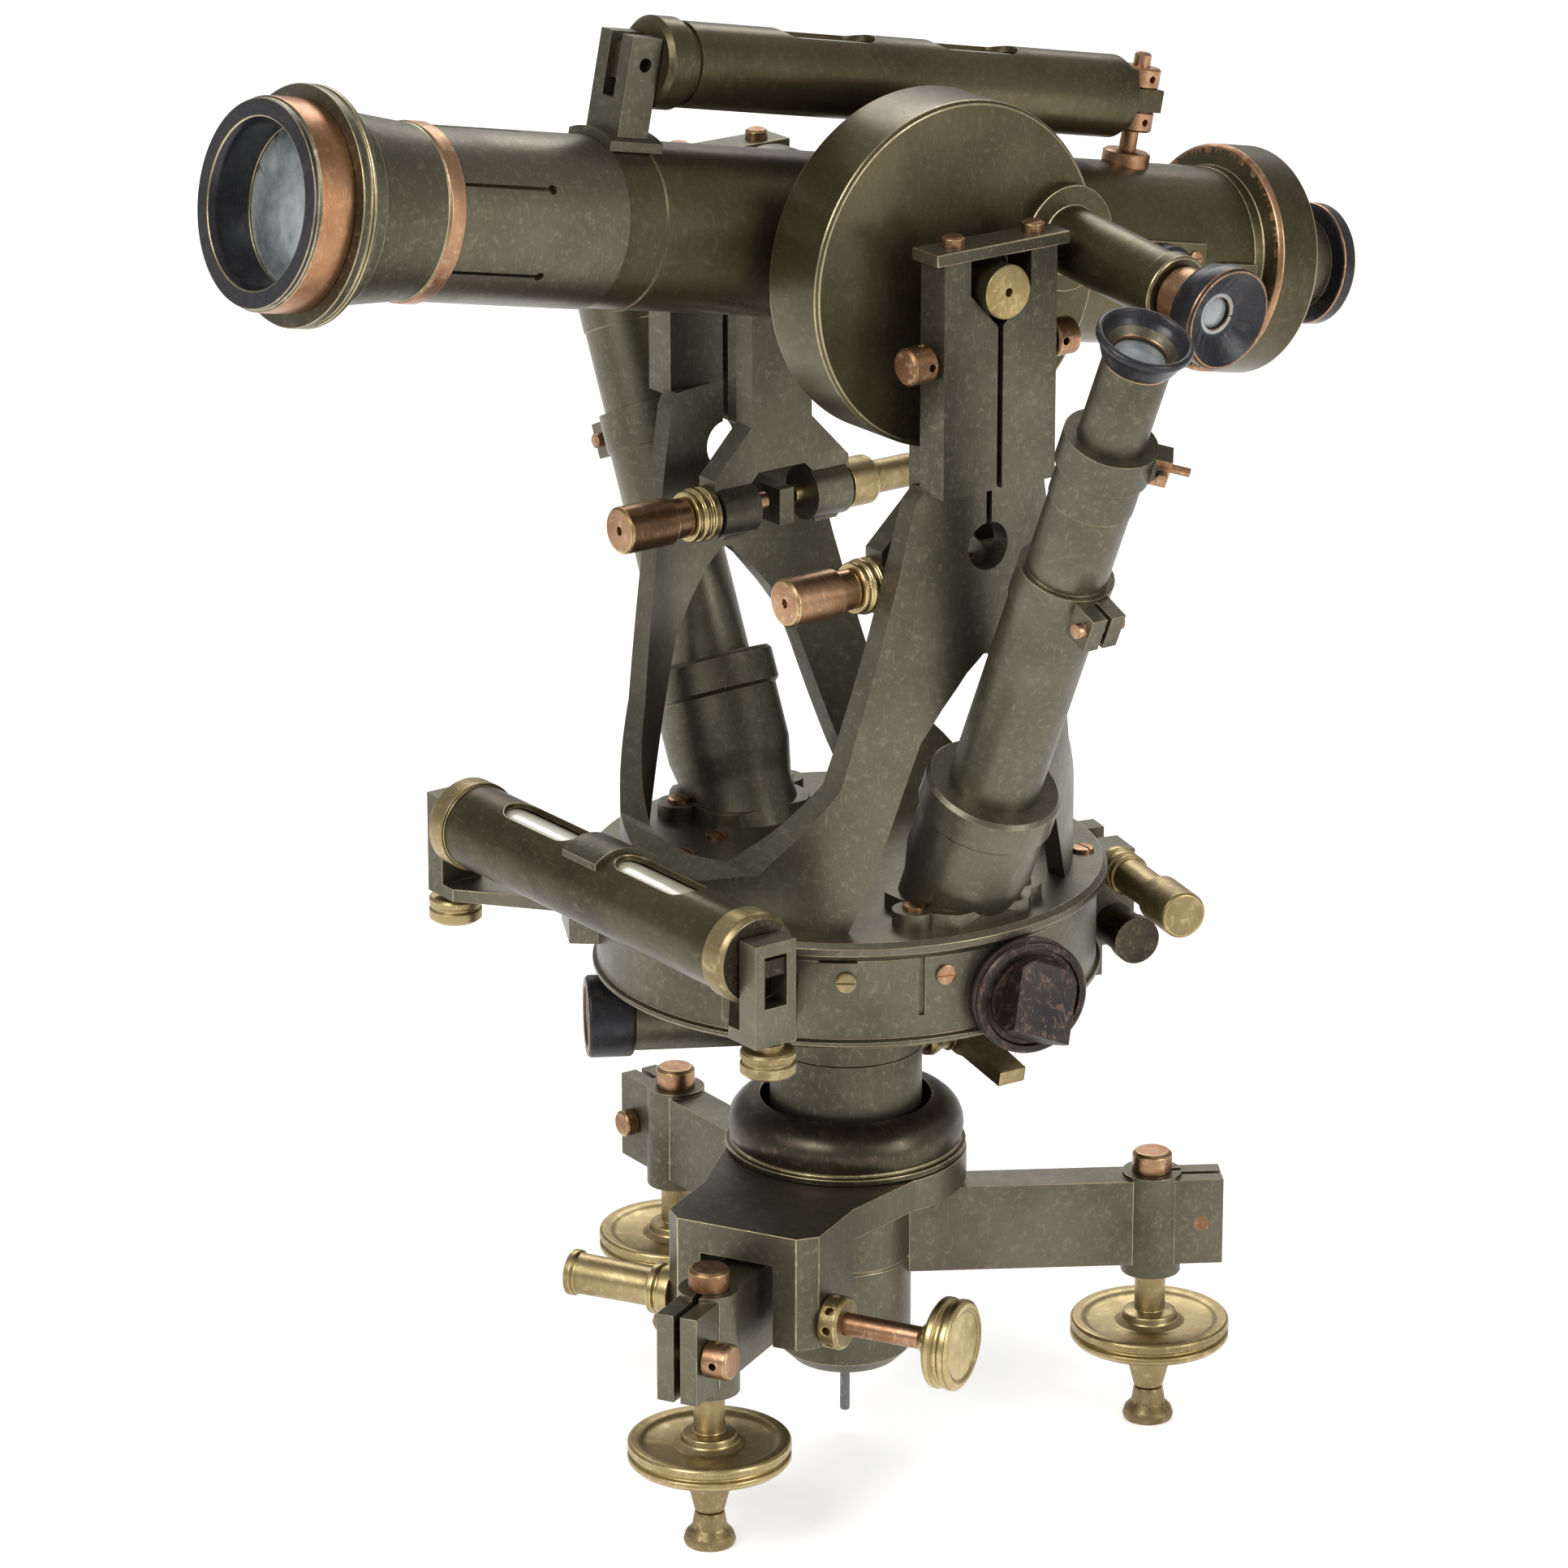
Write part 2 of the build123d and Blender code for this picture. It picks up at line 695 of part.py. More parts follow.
def fixed_lug(side, height):
    """Lug on the inside of a standard, between the two noses of a fine motion arm."""
    y0 = lug_middle - lug_thickness / 2
    reach = abs(index_arm_x) if side > 0 else abs(clamp_arm_x)
    x0, x1 = sorted((side * (reach - 3.5), side * (shell_inner + 3)))
    lug = block(x0, x1, y0, y0 + lug_thickness, height - 5.5, height + 3)
    return lug & rod((0, 0, height - 20), (0, 0, height + 20), shell_inner)


# Drum, trunnions and fine motion arms

def drum_casing():
    bore = trunnion_radius + running_gap
    size = drum_radius
    a = drum_inner_face
    b = drum_outer_face
    drum = turned([(a, bore), (a, size - 1.2), (a + 1.2, size), (b - 0.8, size), (b, size - 0.8), (b, bore)],
                  (0, 0, axis_height), (1, 0, 0))
    drum -= turned([(a + drum_wall, bore - 1), (a + drum_wall, size - 2.4), (b - drum_wall, size - 2.4),
                    (b - drum_wall, bore - 1)], (0, 0, axis_height), (1, 0, 0))
    return drum


def vertical_circle():
    middle = (drum_inner_face + drum_outer_face) / 2
    return turned([(middle - 1.2, trunnion_radius), (middle - 1.2, vertical_circle_radius),
                   (middle + 1.2, vertical_circle_radius), (middle + 1.2, trunnion_radius)],
                  (0, 0, axis_height), (1, 0, 0))


def trunnion(side):
    start = 10.0
    shoulder = shell_inner - side_gap
    points = [(start, 0), (start, trunnion_radius), (shoulder, trunnion_radius),
              (shoulder, pivot_radius), (pivot_end - 0.4, pivot_radius), (pivot_end, pivot_radius - 0.4),
              (pivot_end, 1), (pivot_end - 3, 1), (pivot_end - 3, 0)]
    shape = turned(points, (0, 0, axis_height), (side, 0, 0))
    return shape - on_scope(rod((0, 0, -90), (0, 0, 90), tube_radius))


def fork_outline(top, height, stem):
    """Stem that flares into two legs round the screw line, as Y and Z points."""
    out = fine_leg_outer
    half = [(stem, top), (stem, height + out), (out, height + 8), (out, height - 3), (out - 3.5, height - 6.5),
            (out - 9.5, height - 6.5), (out - 9.5, height + 5), (out - 12.5, height + 8)]
    return half + [(-y, z) for y, z in reversed(half)]


def fork_arm(x, top, height, stem):
    half = arm_plate / 2
    shape = slab_x(fork_outline(top, height, stem), x - half, x + half)
    shape += rod((x, -18, height), (x, -8, height), fine_barrel_radius)
    shape += rod((x, 8, height), (x, 18, height), fine_barrel_radius)
    shape -= rod((x, -25, height), (x, 0, height), fine_screw_radius + running_gap)
    shape -= rod((x, 0, height), (x, 25, height), fine_screw_radius)
    return shape


def index_arm():
    shape = fork_arm(index_arm_x, axis_height - drum_radius + 6, index_screw_height, 7)
    return shape - rod((0, 0, axis_height), (drum_outer_face + 5, 0, axis_height), drum_radius)


def clamp_arm():
    half = arm_plate / 2
    shape = fork_arm(clamp_arm_x, axis_height - 4, clamp_screw_height, 8.5)
    shape += rod((clamp_arm_x - half, 0, axis_height), (clamp_arm_x + half, 0, axis_height), 15)
    return shape - rod((clamp_arm_x - 9, 0, axis_height), (clamp_arm_x + 9, 0, axis_height),
                       trunnion_radius + running_gap)


def fine_collar(x, height):
    """Grooved brass collar on the outside of the screw leg."""
    start = fine_leg_outer
    bore = fine_screw_radius + running_gap
    size = fine_barrel_radius
    points = [(start, bore), (start, size - 0.2), (start + 1.6, size - 0.2), (start + 2, size - 1),
              (start + 2.6, size - 1), (start + 3, size - 0.2), (start + 4, size - 0.2),
              (start + 4.4, size - 1), (start + 5, size - 1), (start + 5.4, size - 0.5),
              (start + 6.2, size - 0.8), (start + 6.2, bore)]
    return turned(points, (x, 0, height), (0, -1, 0))


def fine_screw(x, height):
    nose = 1.9 - lug_middle + lug_thickness / 2
    size = fine_screw_radius
    knob = fine_knob_radius
    start = fine_leg_outer + 6.5
    points = [(nose, 0), (nose, size), (start, size), (start, 4.6), (start + 4.4, 4.6), (start + 4.8, knob),
              (fine_knob_end - 0.6, knob), (fine_knob_end, knob - 0.6), (fine_knob_end, 1),
              (fine_knob_end - 2, 1), (fine_knob_end - 2, 0)]
    return turned(points, (x, 0, height), (0, -1, 0))


def fine_plunger(x, height):
    nose = 1.9 + lug_middle + lug_thickness / 2
    size = fine_screw_radius
    start = fine_leg_outer
    points = [(nose, 0), (nose, size), (start, size), (start, 5.8), (start + 7, 5.8), (start + 8, 5),
              (start + 8, 3.9), (start + 20, 3.9), (start + 21, 3.2), (start + 21, 0)]
    return turned(points, (x, 0, height), (0, 1, 0))


# Microscopes of the horizontal circle

def micro_axis(side):
    lean = radians(micro_lean)
    return (side * sin(lean), 0, cos(lean))


def micro_foot(side):
    return (side * micro_foot_x, 0, plate_top)


def micro_base(side):
    size = micro_cup_radius
    end = micro_cup_length
    bore = micro_tube_radius
    cup = turned([(-10, bore), (-10, size - 2.5), (6, size - 2.5), (14, size - 1), (end - 9, size - 1),
                  (end - 8, size), (end - 1, size), (end, size - 0.8), (end, bore)],
                 micro_foot(side), micro_axis(side))
    cup -= block(-90, 90, -40, 40, plate_top - 60, plate_top)
    x = side * (micro_foot_x + 1.5)
    flange = block(x - 13.5, x + 13.5, -14, 14, plate_top, plate_top + 3.4)
    ears = rod((x + side * 3.5, -15, plate_top), (x + side * 3.5, -15, plate_top + 3.4), 5)
    ears += rod((x + side * 3.5, 15, plate_top), (x + side * 3.5, 15, plate_top + 3.4), 5)
    flange = (flange & rod((x, 0, plate_top), (x, 0, plate_top + 4), 16.5)) + ears
    flange -= turned([(-12, 0), (-12, bore), (40, bore), (40, 0)], micro_foot(side), micro_axis(side))
    return cup + flange


def on_micro(side, shape):
    """Local Z is the tube's axis, local X points away from the vertical axis and down."""
    lean = radians(micro_lean)
    frame = Plane(origin=micro_foot(side), x_dir=(side * cos(lean), 0, -sin(lean)), z_dir=micro_axis(side))
    return frame.location * shape


def micro_tube(side):
    """Main tube, inner sleeve and the two clamp rings with their ears."""
    size = micro_tube_radius
    end = micro_tube_end
    sleeve = micro_sleeve_radius
    ring = micro_ring_radius
    low = micro_ring_start
    top = micro_ring_end
    bore = micro_upper_radius + running_gap
    tube = turned([(10, size - 2.5), (10, size), (end - 9, size), (end - 9, size + 0.5), (end, size + 0.5),
                   (end, sleeve), (low - 9, sleeve), (low - 8.8, sleeve + 0.3), (low, sleeve + 0.3),
                   (low, ring), (top, ring), (top, bore), (end - 5, bore), (end - 5, size - 2.5)])
    ears = block(size - 1, size + 6.5, -4.5, 4.5, end - 9, end - 0.6)
    ears -= block(size + 0.8, size + 7, -0.6, 0.6, end - 10, end)
    ears += rod((size + 3.8, -6.3, end - 4.8), (size + 3.8, 6.3, end - 4.8), 1.7)
    middle = (low + top) / 2
    lug = block(ring - 1, ring + 3.4, -3, 3, low + 0.6, top - 0.6)
    lug += rod((ring + 1.7, -5.4, middle), (ring + 1.7, 4.6, middle), 1.3)
    lug += rod((ring + 2, 0, middle), (ring + 8, 0, middle), 1.0)
    ears -= rod((0, 0, end - 12), (0, 0, end + 2), size + 0.5)
    lug -= rod((0, 0, low - 2), (0, 0, top + 2), ring)
    return [on_micro(side, piece) for piece in (tube, ears, spin(lug, 52))]


def micro_eyepiece(side):
    """Plain draw tube with a shallow flared eyecup."""
    stem = micro_upper_radius
    bore = stem - 1.5
    size = micro_eye_radius
    end = micro_eye_end
    start = micro_ring_end - 28
    points = [(start, bore), (start, stem), (end - 7, stem), (end - 6.2, stem + 0.7), (end - 2.2, size - 0.7),
              (end - 1.6, size), (end - 0.5, size), (end, size - 0.5), (end, size - 1.2),
              (end - 2.2, size - 2.2), (end - 4.6, bore)]
    return turned(points, micro_foot(side), micro_axis(side))


def micro_lens(side):
    bore = micro_upper_radius - 1.5
    end = micro_eye_end - 5
    points = [(end - 3, 0), (end - 3, bore), (end - 0.6, bore), (end, bore * 0.7), (end + 0.4, 0)]
    return turned(points, micro_foot(side), micro_axis(side))


# Microscope of the vertical circle

def vertical_axis():
    return (0.989, 0.053, -0.1385)


def vertical_start():
    return (drum_outer_face, vertical_micro_y, vertical_micro_z)


def vertical_microscope():
    size = vertical_micro_radius
    end = vertical_micro_length
    bore = size - 2
    face = drum_outer_face
    flange = rod((face, vertical_micro_y, vertical_micro_z), (face + 2.6, vertical_micro_y, vertical_micro_z),
                 size + 4.3)
    tube = turned([(-3, bore), (-3, size), (end - 4, size), (end - 3.6, size + 0.9), (end - 0.4, size + 0.9),
                   (end, size + 0.4), (end, bore)], vertical_start(), vertical_axis())
    shape = flange + (tube & block(face, face + 90, -60, 60, 200, 380))
    return shape - turned([(-3, 0), (-3, bore), (20, bore), (20, 0)], vertical_start(), vertical_axis())


def vertical_eyepiece():
    start = vertical_micro_length
    end = vertical_eye_end
    size = vertical_eye_radius
    stem = vertical_micro_radius - 2 - running_gap
    points = [(start - 12, stem - 2), (start - 12, stem), (start + 0.6, stem), (start + 0.6, stem + 1),
              (start + 6, stem + 1), (start + 9, size - 1.5), (end - 3, size), (end - 0.7, size),
              (end, size - 0.7), (end - 4, stem - 1), (end - 4, stem - 2)]
    return turned(points, vertical_start(), vertical_axis())


def vertical_lens():
    stem = vertical_micro_radius - 4 - running_gap
    end = vertical_eye_end - 4.5
    return turned([(end - 3, 0), (end - 3, stem), (end - 0.6, stem), (end + 0.2, 0)],
                  vertical_start(), vertical_axis())


# Telescope, drawn with its axis along Z and the level at +Y, then set at its tilt

def on_scope(shape):
    lean = radians(scope_tilt)
    frame = Plane(origin=(0, 0, axis_height), x_dir=(1, 0, 0), z_dir=(0, -cos(lean), sin(lean)))
    return frame.location * shape


def main_tube():
    bore = tube_radius - tube_wall
    thin = sleeve_radius - 1.5
    points = [(rear_tube_end, bore), (rear_tube_end, rear_tube_radius), (rear_tube_start, rear_tube_radius),
              (rear_tube_start + 2, tube_radius), (63, tube_radius), (63.2, tube_radius + 0.4),
              (64.4, tube_radius + 0.4), (64.6, tube_radius), (sleeve_start, tube_radius),
              (sleeve_start, thin), (sleeve_end, thin), (sleeve_end, bore)]
    return on_scope(turned(points))


def slit_sleeve():
    thin = sleeve_radius - 1.5
    shape = turned([(sleeve_start, thin), (sleeve_start, sleeve_radius), (sleeve_end, sleeve_radius),
                    (sleeve_end, thin)])
    depth = sleeve_end - 23
    for i in range(slit_count):
        angle = 360 / slit_count * (i + 0.5)
        cut = block(thin - 0.2, sleeve_radius + 2, -0.45, 0.45, depth, sleeve_end + 1)
        cut += rod((thin - 0.2, 0, depth), (sleeve_radius + 2, 0, depth), 1.1)
        shape -= spin(cut, angle)
    return on_scope(shape)


def objective_bell():
    draw = tube_radius - tube_wall - running_gap
    start = sleeve_end
    points = [(start - 36, draw - 1.6), (start - 36, draw), (start + 0.2, draw), (start + 0.2, sleeve_radius + 0.6),
              (start + 4, sleeve_radius + 0.6), (start + 4.4, sleeve_radius + 0.1),
              (start + 14, bell_radius - 0.9), (bell_end, bell_radius), (bell_end + 0.3, bell_radius + 1),
              (flange_start, bell_radius + 1), (flange_start, flange_radius),
              (flange_start + 1, flange_radius), (flange_start + 1.3, flange_radius - 0.7),
              (flange_start + 1.8, flange_radius - 0.7), (flange_start + 2.1, flange_radius),
              (flange_end, flange_radius), (flange_end, lens_radius), (flange_start + 0.5, lens_radius),
              (flange_start + 0.5, draw - 1.6)]
    return on_scope(turned(points))


def objective_bezel():
    end = bezel_end
    size = bezel_radius
    points = [(flange_end, lens_radius), (flange_end, size), (end - 1.6, size), (end - 1.2, size - 0.6),
              (end, size - 0.6), (end, lens_radius + 1.2), (end - 2.5, lens_radius)]
    return on_scope(turned(points))


def objective_lens():
    start = flange_start + 0.5
    points = [(start, 0), (start, lens_radius), (start + 3, lens_radius), (start + 4.6, lens_radius * 0.6),
              (start + 5.1, 0)]
    return on_scope(turned(points))


def rear_drum():
    size = rear_drum_radius
    a = rear_drum_start
    b = rear_drum_end
    bore = eyepiece_radius + running_gap
    inner = rear_tube_radius - 3
    points = [(rear_tube_end, inner), (rear_tube_end, rear_tube_radius), (a + 1, rear_tube_radius + 0.4),
              (a + 0.4, size - 0.8), (a - 0.6, size), (b + 0.6, size), (b, size - 0.6), (b, size - 3.4),
              (b + 1, size - 4), (b + 1, bore), (b + 4, bore), (b + 4, inner)]
    return on_scope(turned(points))


def eyepiece():
    size = eyepiece_radius
    ring = eyepiece_ring_radius
    a = eyepiece_ring_start
    end = eyepiece_end
    points = [(rear_drum_end + 3.5, size - 1.6), (rear_drum_end + 3.5, size), (a + 0.2, size),
              (a, ring - 0.8), (a - 0.7, ring), (end + 1.4, ring), (end + 0.4, ring - 1.2),
              (end, ring - 2.6), (end + 2.5, 5), (end + 2.5, size - 4), (a, size - 4), (a, size - 1.6)]
    return on_scope(turned(points))


def eye_lens():
    end = eyepiece_end + 3
    return on_scope(turned([(end + 3, 0), (end + 3, eyepiece_radius - 4), (end + 0.6, eyepiece_radius - 4),
                            (end, 0)]))


def side_flange():
    reach = rear_tube_radius
    plate = block(10, reach + 1.5, -7, 7, -86, -62)
    plate &= rod((0, 0, -74), (40, 0, -74), 12.5) + block(0, 40, -7, 7, -86, -62)
    plate -= rod((0, 0, -100), (0, 0, -50), reach)
    return on_scope(plate)


def side_disc():
    return on_scope(turned([(rear_tube_radius + 1.5, 0), (rear_tube_radius + 1.5, 6.6),
                            (rear_tube_radius + 4.6, 6.6), (rear_tube_radius + 5.2, 6),
                            (rear_tube_radius + 5.2, 4.4), (rear_tube_radius + 4.4, 3.8),
                            (rear_tube_radius + 4.4, 0)], (0, 0, -74), (1, 0, 0)))


def side_box():
    box = block(12, rear_tube_radius + 3, -6, 3, -101, -93)
    return on_scope(box - rod((0, 0, -110), (0, 0, -85), rear_tube_radius))


def level_shell(start, end, radius, spans):
    """Level tube along X with its round-ended windows upwards."""
    inner = radius - level_wall
    hold = vial_radius
    tube = turned([(start, hold), (start, radius), (end, radius), (end, hold), (end - 5, hold),
                   (end - 5, inner), (start + 5, inner), (start + 5, hold)], (0, 0, 0), (1, 0, 0))
    for a, b in spans:
        half = level_window_half
        tube -= block(a + half, b - half, -half, half, 0, radius + 2)
        tube -= rod((a + half, 0, 0), (a + half, 0, radius + 2), half)
        tube -= rod((b - half, 0, 0), (b - half, 0, radius + 2), half)
    return tube


def level_glass(start, end):
    return turned([(start, 0), (start, vial_radius), (end, vial_radius), (end, 0)], (0, 0, 0), (1, 0, 0))


def on_level(shape):
    """A level drawn along X with its windows up is laid on the telescope."""
    frame = Plane(origin=(0, level_offset, 0), x_dir=(0, 0, 1), z_dir=(0, 1, 0))
    return on_scope(frame.location * shape)


def scope_level_tube():
    tube = level_shell(level_start, level_end, level_radius, level_windows)
    flange = turned([(level_end, vial_radius), (level_end, level_radius - 0.6), (level_end + 2, level_radius - 0.6),
                     (level_end + 2.6, level_radius + 0.7), (level_end + 8, level_radius + 0.7),
                     (level_end + 9, level_radius - 0.4), (level_end + 9, 0), (level_end + 6, 0),
                     (level_end + 6, vial_radius)], (0, 0, 0), (1, 0, 0))
    tail = turned([(level_start, vial_radius), (level_start, level_radius - 1), (level_start - 2, level_radius - 1),
                   (level_start - 2, 0), (level_start - 1, 0), (level_start - 1, vial_radius)],
                  (0, 0, 0), (1, 0, 0))
    tongue = block(level_start - 12.5, level_start - 2, -4.2, 4.2, -2.6, 2.6)
    tongue -= rod((level_start - 8, 0, -5), (level_start - 8, 0, 5), 2 + running_gap)
    eye = block(level_end + 9, level_end + 16, -2, 2, -4, 4)
    return on_level(tube + flange + tail + tongue + eye)


def scope_level_vial():
    return on_level(level_glass(level_start, level_end - 0.5))


def level_fork():
    """Clevis that carries the objective end of the level."""
    s0 = level_end + 9.3
    s1 = s0 + 8
    shape = block(-6, 6, 10, level_offset + 6, s0, s1)
    shape -= block(-2.05, 2.05, level_offset - 8, level_offset + 9, s0 - 1, s1 + 1)
    foot = block(-8, 8, 10, tube_radius + 4, s0 - 3, s1 + 3)
    foot &= rod((0, 0, s0 - 5), (0, 0, s1 + 5), tube_radius + 2.4)
    pin = rod((-7, level_offset, s0 + 3.6), (7, level_offset, s0 + 3.6), 1.6)
    shape = shape + foot
    shape -= rod((0, 0, s0 - 9), (0, 0, s1 + 9), tube_radius + 0.4)
    return on_scope(shape - pin)


def level_pin():
    s0 = level_end + 9.3
    pin = turned([(-7, 0), (-7, 2.6), (-6, 2.6), (-6, 1.6), (-2.05, 1.6), (-2.05, 0)],
                 (0, level_offset, s0 + 3.6), (1, 0, 0))
    return on_scope(pin)


def level_stud():
    """Threaded post at the eyepiece end of the level."""
    s = level_start - 8
    foot = turned([(rear_tube_radius - 4, 0), (rear_tube_radius - 4, 5.5), (rear_tube_radius + 2.4, 5.5),
                   (rear_tube_radius + 3, 4.6), (rear_tube_radius + 3, 2), (level_offset + 10, 2),
                   (level_offset + 10.6, 1.4), (level_offset + 10.6, 0)], (0, 0, s), (0, 1, 0))
    return on_scope(foot - rod((0, 0, s - 20), (0, 0, s + 20), rear_tube_radius))


def level_nut(side):
    s = level_start - 8
    y0 = level_offset + side * 2.6
    nut = turned([(0, 2), (0, 4.2), (0.5, 4.7), (4.3, 4.7), (4.8, 4.2), (4.8, 2)], (0, y0, s), (0, side, 0))
    y = y0 + side * 2.4
    nut -= rod((-9, y, s), (-2.5, y, s), 0.8) + rod((2.5, y, s), (9, y, s), 0.8)
    nut -= rod((0, y, s - 9), (0, y, s - 2.5), 0.8) + rod((0, y, s + 2.5), (0, y, s + 9), 0.8)
    return on_scope(nut)


# Plate level

def on_plate_level(shape):
    return Pos(0, plate_level_y, plate_level_z) * shape


def plate_level_tube():
    size = plate_level_radius
    tube = level_shell(plate_level_left, plate_level_right, size, plate_level_windows)
    for x, side in ((plate_level_left, -1), (plate_level_right, 1)):
        cap = turned([(-5, size), (-5, size + 0.7), (0, size + 0.7), (1.6, size - 0.4), (1.6, 0),
                      (0, 0), (0, size)], (x, 0, 0), (side, 0, 0))
        tube += cap
        tongue = block(1.6, 7.6, -3, 3, -2, 2)
        tube += Pos(x, 0, 0) * (tongue if side > 0 else Rot(0, 0, 180) * tongue)
    return on_plate_level(tube)


def plate_level_vial():
    return on_plate_level(level_glass(plate_level_left, plate_level_right))


def level_post(x, side):
    """Slotted post that holds one end of the plate level."""
    low = plate_level_z - 15
    top = plate_level_z + 6
    x0, x1 = sorted((x + side * 2.2, x + side * 8.2))
    post = block(x0, x1, plate_level_y - 5.5, plate_level_y + 5.5, low, top)
    slot = block(x0 - 1, x1 + 1, plate_level_y - 3, plate_level_y + 3, low + 6, top - 3)
    return post - slot


def level_bracket(x, side):
    """Arm from the housing wall to the foot of one level post."""
    low = plate_level_z - 18
    top = plate_level_z - 15
    outer = x + side * 8.2
    y = plate_level_y
    near = wall_radius - 2
    outline = [(outer, y - 5.5), (outer, y + 5.5), (side * near * 0.672, -near * 0.74),
               (side * near * 0.43, -near * 0.9), (x - side * 2, y - 5.5)]
    arm = slab_z(outline, low, top)
    web = slab_z([(side * near * 0.672, -near * 0.74), (side * near * 0.43, -near * 0.9),
                  (side * (near * 0.43 + 6), -near * 0.9 - 7), (side * (near * 0.672 + 7), -near * 0.74 - 8)],
                 low - 7, low)
    return arm + web - rod((0, 0, 90), (0, 0, 160), wall_radius)


def level_knob(x, side):
    """Capstan knob under a level post."""
    low = plate_level_z - 18
    size = 6.2
    at = (x + side * 5.2, plate_level_y, 0)
    knob = turned([(low, 0), (low, 3.6), (low - 1.2, 3.6), (low - 1.4, size - 0.5), (low - 2, size),
                   (low - 3.2, size), (low - 3.6, size - 0.6), (low - 4.2, size - 0.6), (low - 4.6, size),
                   (low - 6.6, size), (low - 7.4, size - 1), (low - 7.4, 0)], at)
    return knob


def level_strap():
    """Curved strap over the middle of the plate level, down to the plate."""
    size = plate_level_radius
    ring = rod((-6.5, 0, 0), (6.5, 0, 0), size + 1.2) - rod((-9, 0, 0), (9, 0, 0), size)
    over = ring & block(-10, 10, -0.5, size + 3, -2, size + 3)
    over += ring & block(-10, 10, -size * 0.7, 0, 0, size + 3)
    low = plate_top - plate_level_z
    foot = block(-6.5, 6.5, size, size + 1.2, low, 0)
    foot += block(-6.5, 6.5, size, size + 9, low, low + 1.4)
    strap = on_plate_level(over + foot)
    return strap - rod((0, 0, plate_top - 5), (0, 0, plate_top + 30), shell_outer)


# Files

def main():
    front = foot_angles[1]
    save("tribrach", tribrach())
    screws = [ear_screw(a, a == front) for a in foot_angles]
    save("foot_caps_and_screws", *screws, *[dust_cap(a) for a in foot_angles])
    save("plumb_pin", plumb_pin())
    for index, angle in enumerate(foot_angles):
        save(f"foot_tip_{index + 1}", foot_tip(angle))
        save(f"foot_screw_{index + 1}", foot_screw(angle))
    save("lower_clamp", lower_clamp_ring())
    save("lower_nut_and_barrel", lower_nut(), spring_barrel())
    save("lower_tangent_screw", lower_screw())
    save("circle_axis", circle_axis())
    save("dust_collar", dust_collar())
    save("horizontal_circle", horizontal_circle())
    save("lever_key", lever_key())
    save("plate_housing", plate_housing())
    save("bottom_cover", bottom_cover(), alidade_axis())
    save("upper_clamp", upper_clamp_ring())
    save("upper_clamp_head", upper_clamp_head())
    save("tangent_bracket", tangent_bracket(), wall_plate())
    save("upper_tangent_screw", upper_screw())
    save("light_socket", light_socket())
    save("light_hood", light_hood())
    save("standards", standards())
    save("bearing_caps", bearing_cap(1), bearing_cap(-1))
    cap_screws = [cap_screw(side, y) for side in (1, -1) for y in (-10, 12)]
    save("block_screws", *cap_screws, bearing_screw(1), bearing_screw(-1))
    for name, side in (("near", 1), ("far", -1)):
        save(f"{name}_microscope_base", micro_base(side))
        save(f"{name}_microscope_tube", *micro_tube(side))
        save(f"{name}_microscope_eyepiece", micro_eyepiece(side), micro_lens(side))
    save("plate_level_tube", plate_level_tube())
    save("plate_level_vial", plate_level_vial())
    save("plate_level_strap", level_strap())
    ends = ((plate_level_right, 1), (plate_level_left, -1))
    save("plate_level_mounts", *[level_post(x, side) + level_bracket(x, side) for x, side in ends])
    save("plate_level_knobs", *[level_knob(x, side) for x, side in ends])
    save("drum_casing", drum_casing())
    save("index_arm", index_arm())
    save("index_collar_plunger", fine_collar(index_arm_x, index_screw_height),
         fine_plunger(index_arm_x, index_screw_height))
    save("index_tangent_screw", fine_screw(index_arm_x, index_screw_height))
    save("vertical_microscope", vertical_microscope())
    save("vertical_eyepiece", vertical_eyepiece(), vertical_lens())
    save("clamp_arm", clamp_arm())
    save("clamp_collar_plunger", fine_collar(clamp_arm_x, clamp_screw_height),
         fine_plunger(clamp_arm_x, clamp_screw_height))
    save("clamp_tangent_screw", fine_screw(clamp_arm_x, clamp_screw_height))
    save("main_tube", main_tube(), trunnion(1), trunnion(-1))
    save("vertical_circle", vertical_circle())
    save("slit_sleeve", slit_sleeve())
    save("objective_bell", objective_bell())
    save("objective_bezel", objective_bezel())
    save("objective_lens", objective_lens())
    save("rear_drum", rear_drum())
    save("side_flange", side_flange(), side_disc(), side_box())
    save("scope_eyepiece", eyepiece(), eye_lens())
    save("scope_level_tube", scope_level_tube())
    save("scope_level_vial", scope_level_vial())
    save("scope_level_mounts", level_fork(), level_pin(), level_stud(), level_nut(1), level_nut(-1))


main()
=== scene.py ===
import json
import math

import bpy
from mathutils import Matrix, Vector


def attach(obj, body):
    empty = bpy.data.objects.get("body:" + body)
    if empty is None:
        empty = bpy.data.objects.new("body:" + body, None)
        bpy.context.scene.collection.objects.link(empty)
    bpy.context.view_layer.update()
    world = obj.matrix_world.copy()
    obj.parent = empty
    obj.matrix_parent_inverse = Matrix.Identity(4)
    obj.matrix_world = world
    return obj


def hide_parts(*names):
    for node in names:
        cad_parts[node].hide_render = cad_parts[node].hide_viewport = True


# Theodolite with slanted microscopes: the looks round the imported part.
# Metres, +Z up, in the part's own frame. Sizes with "* MM" and the runs and reaches
# of the band tests are in millimetres, read off the part.

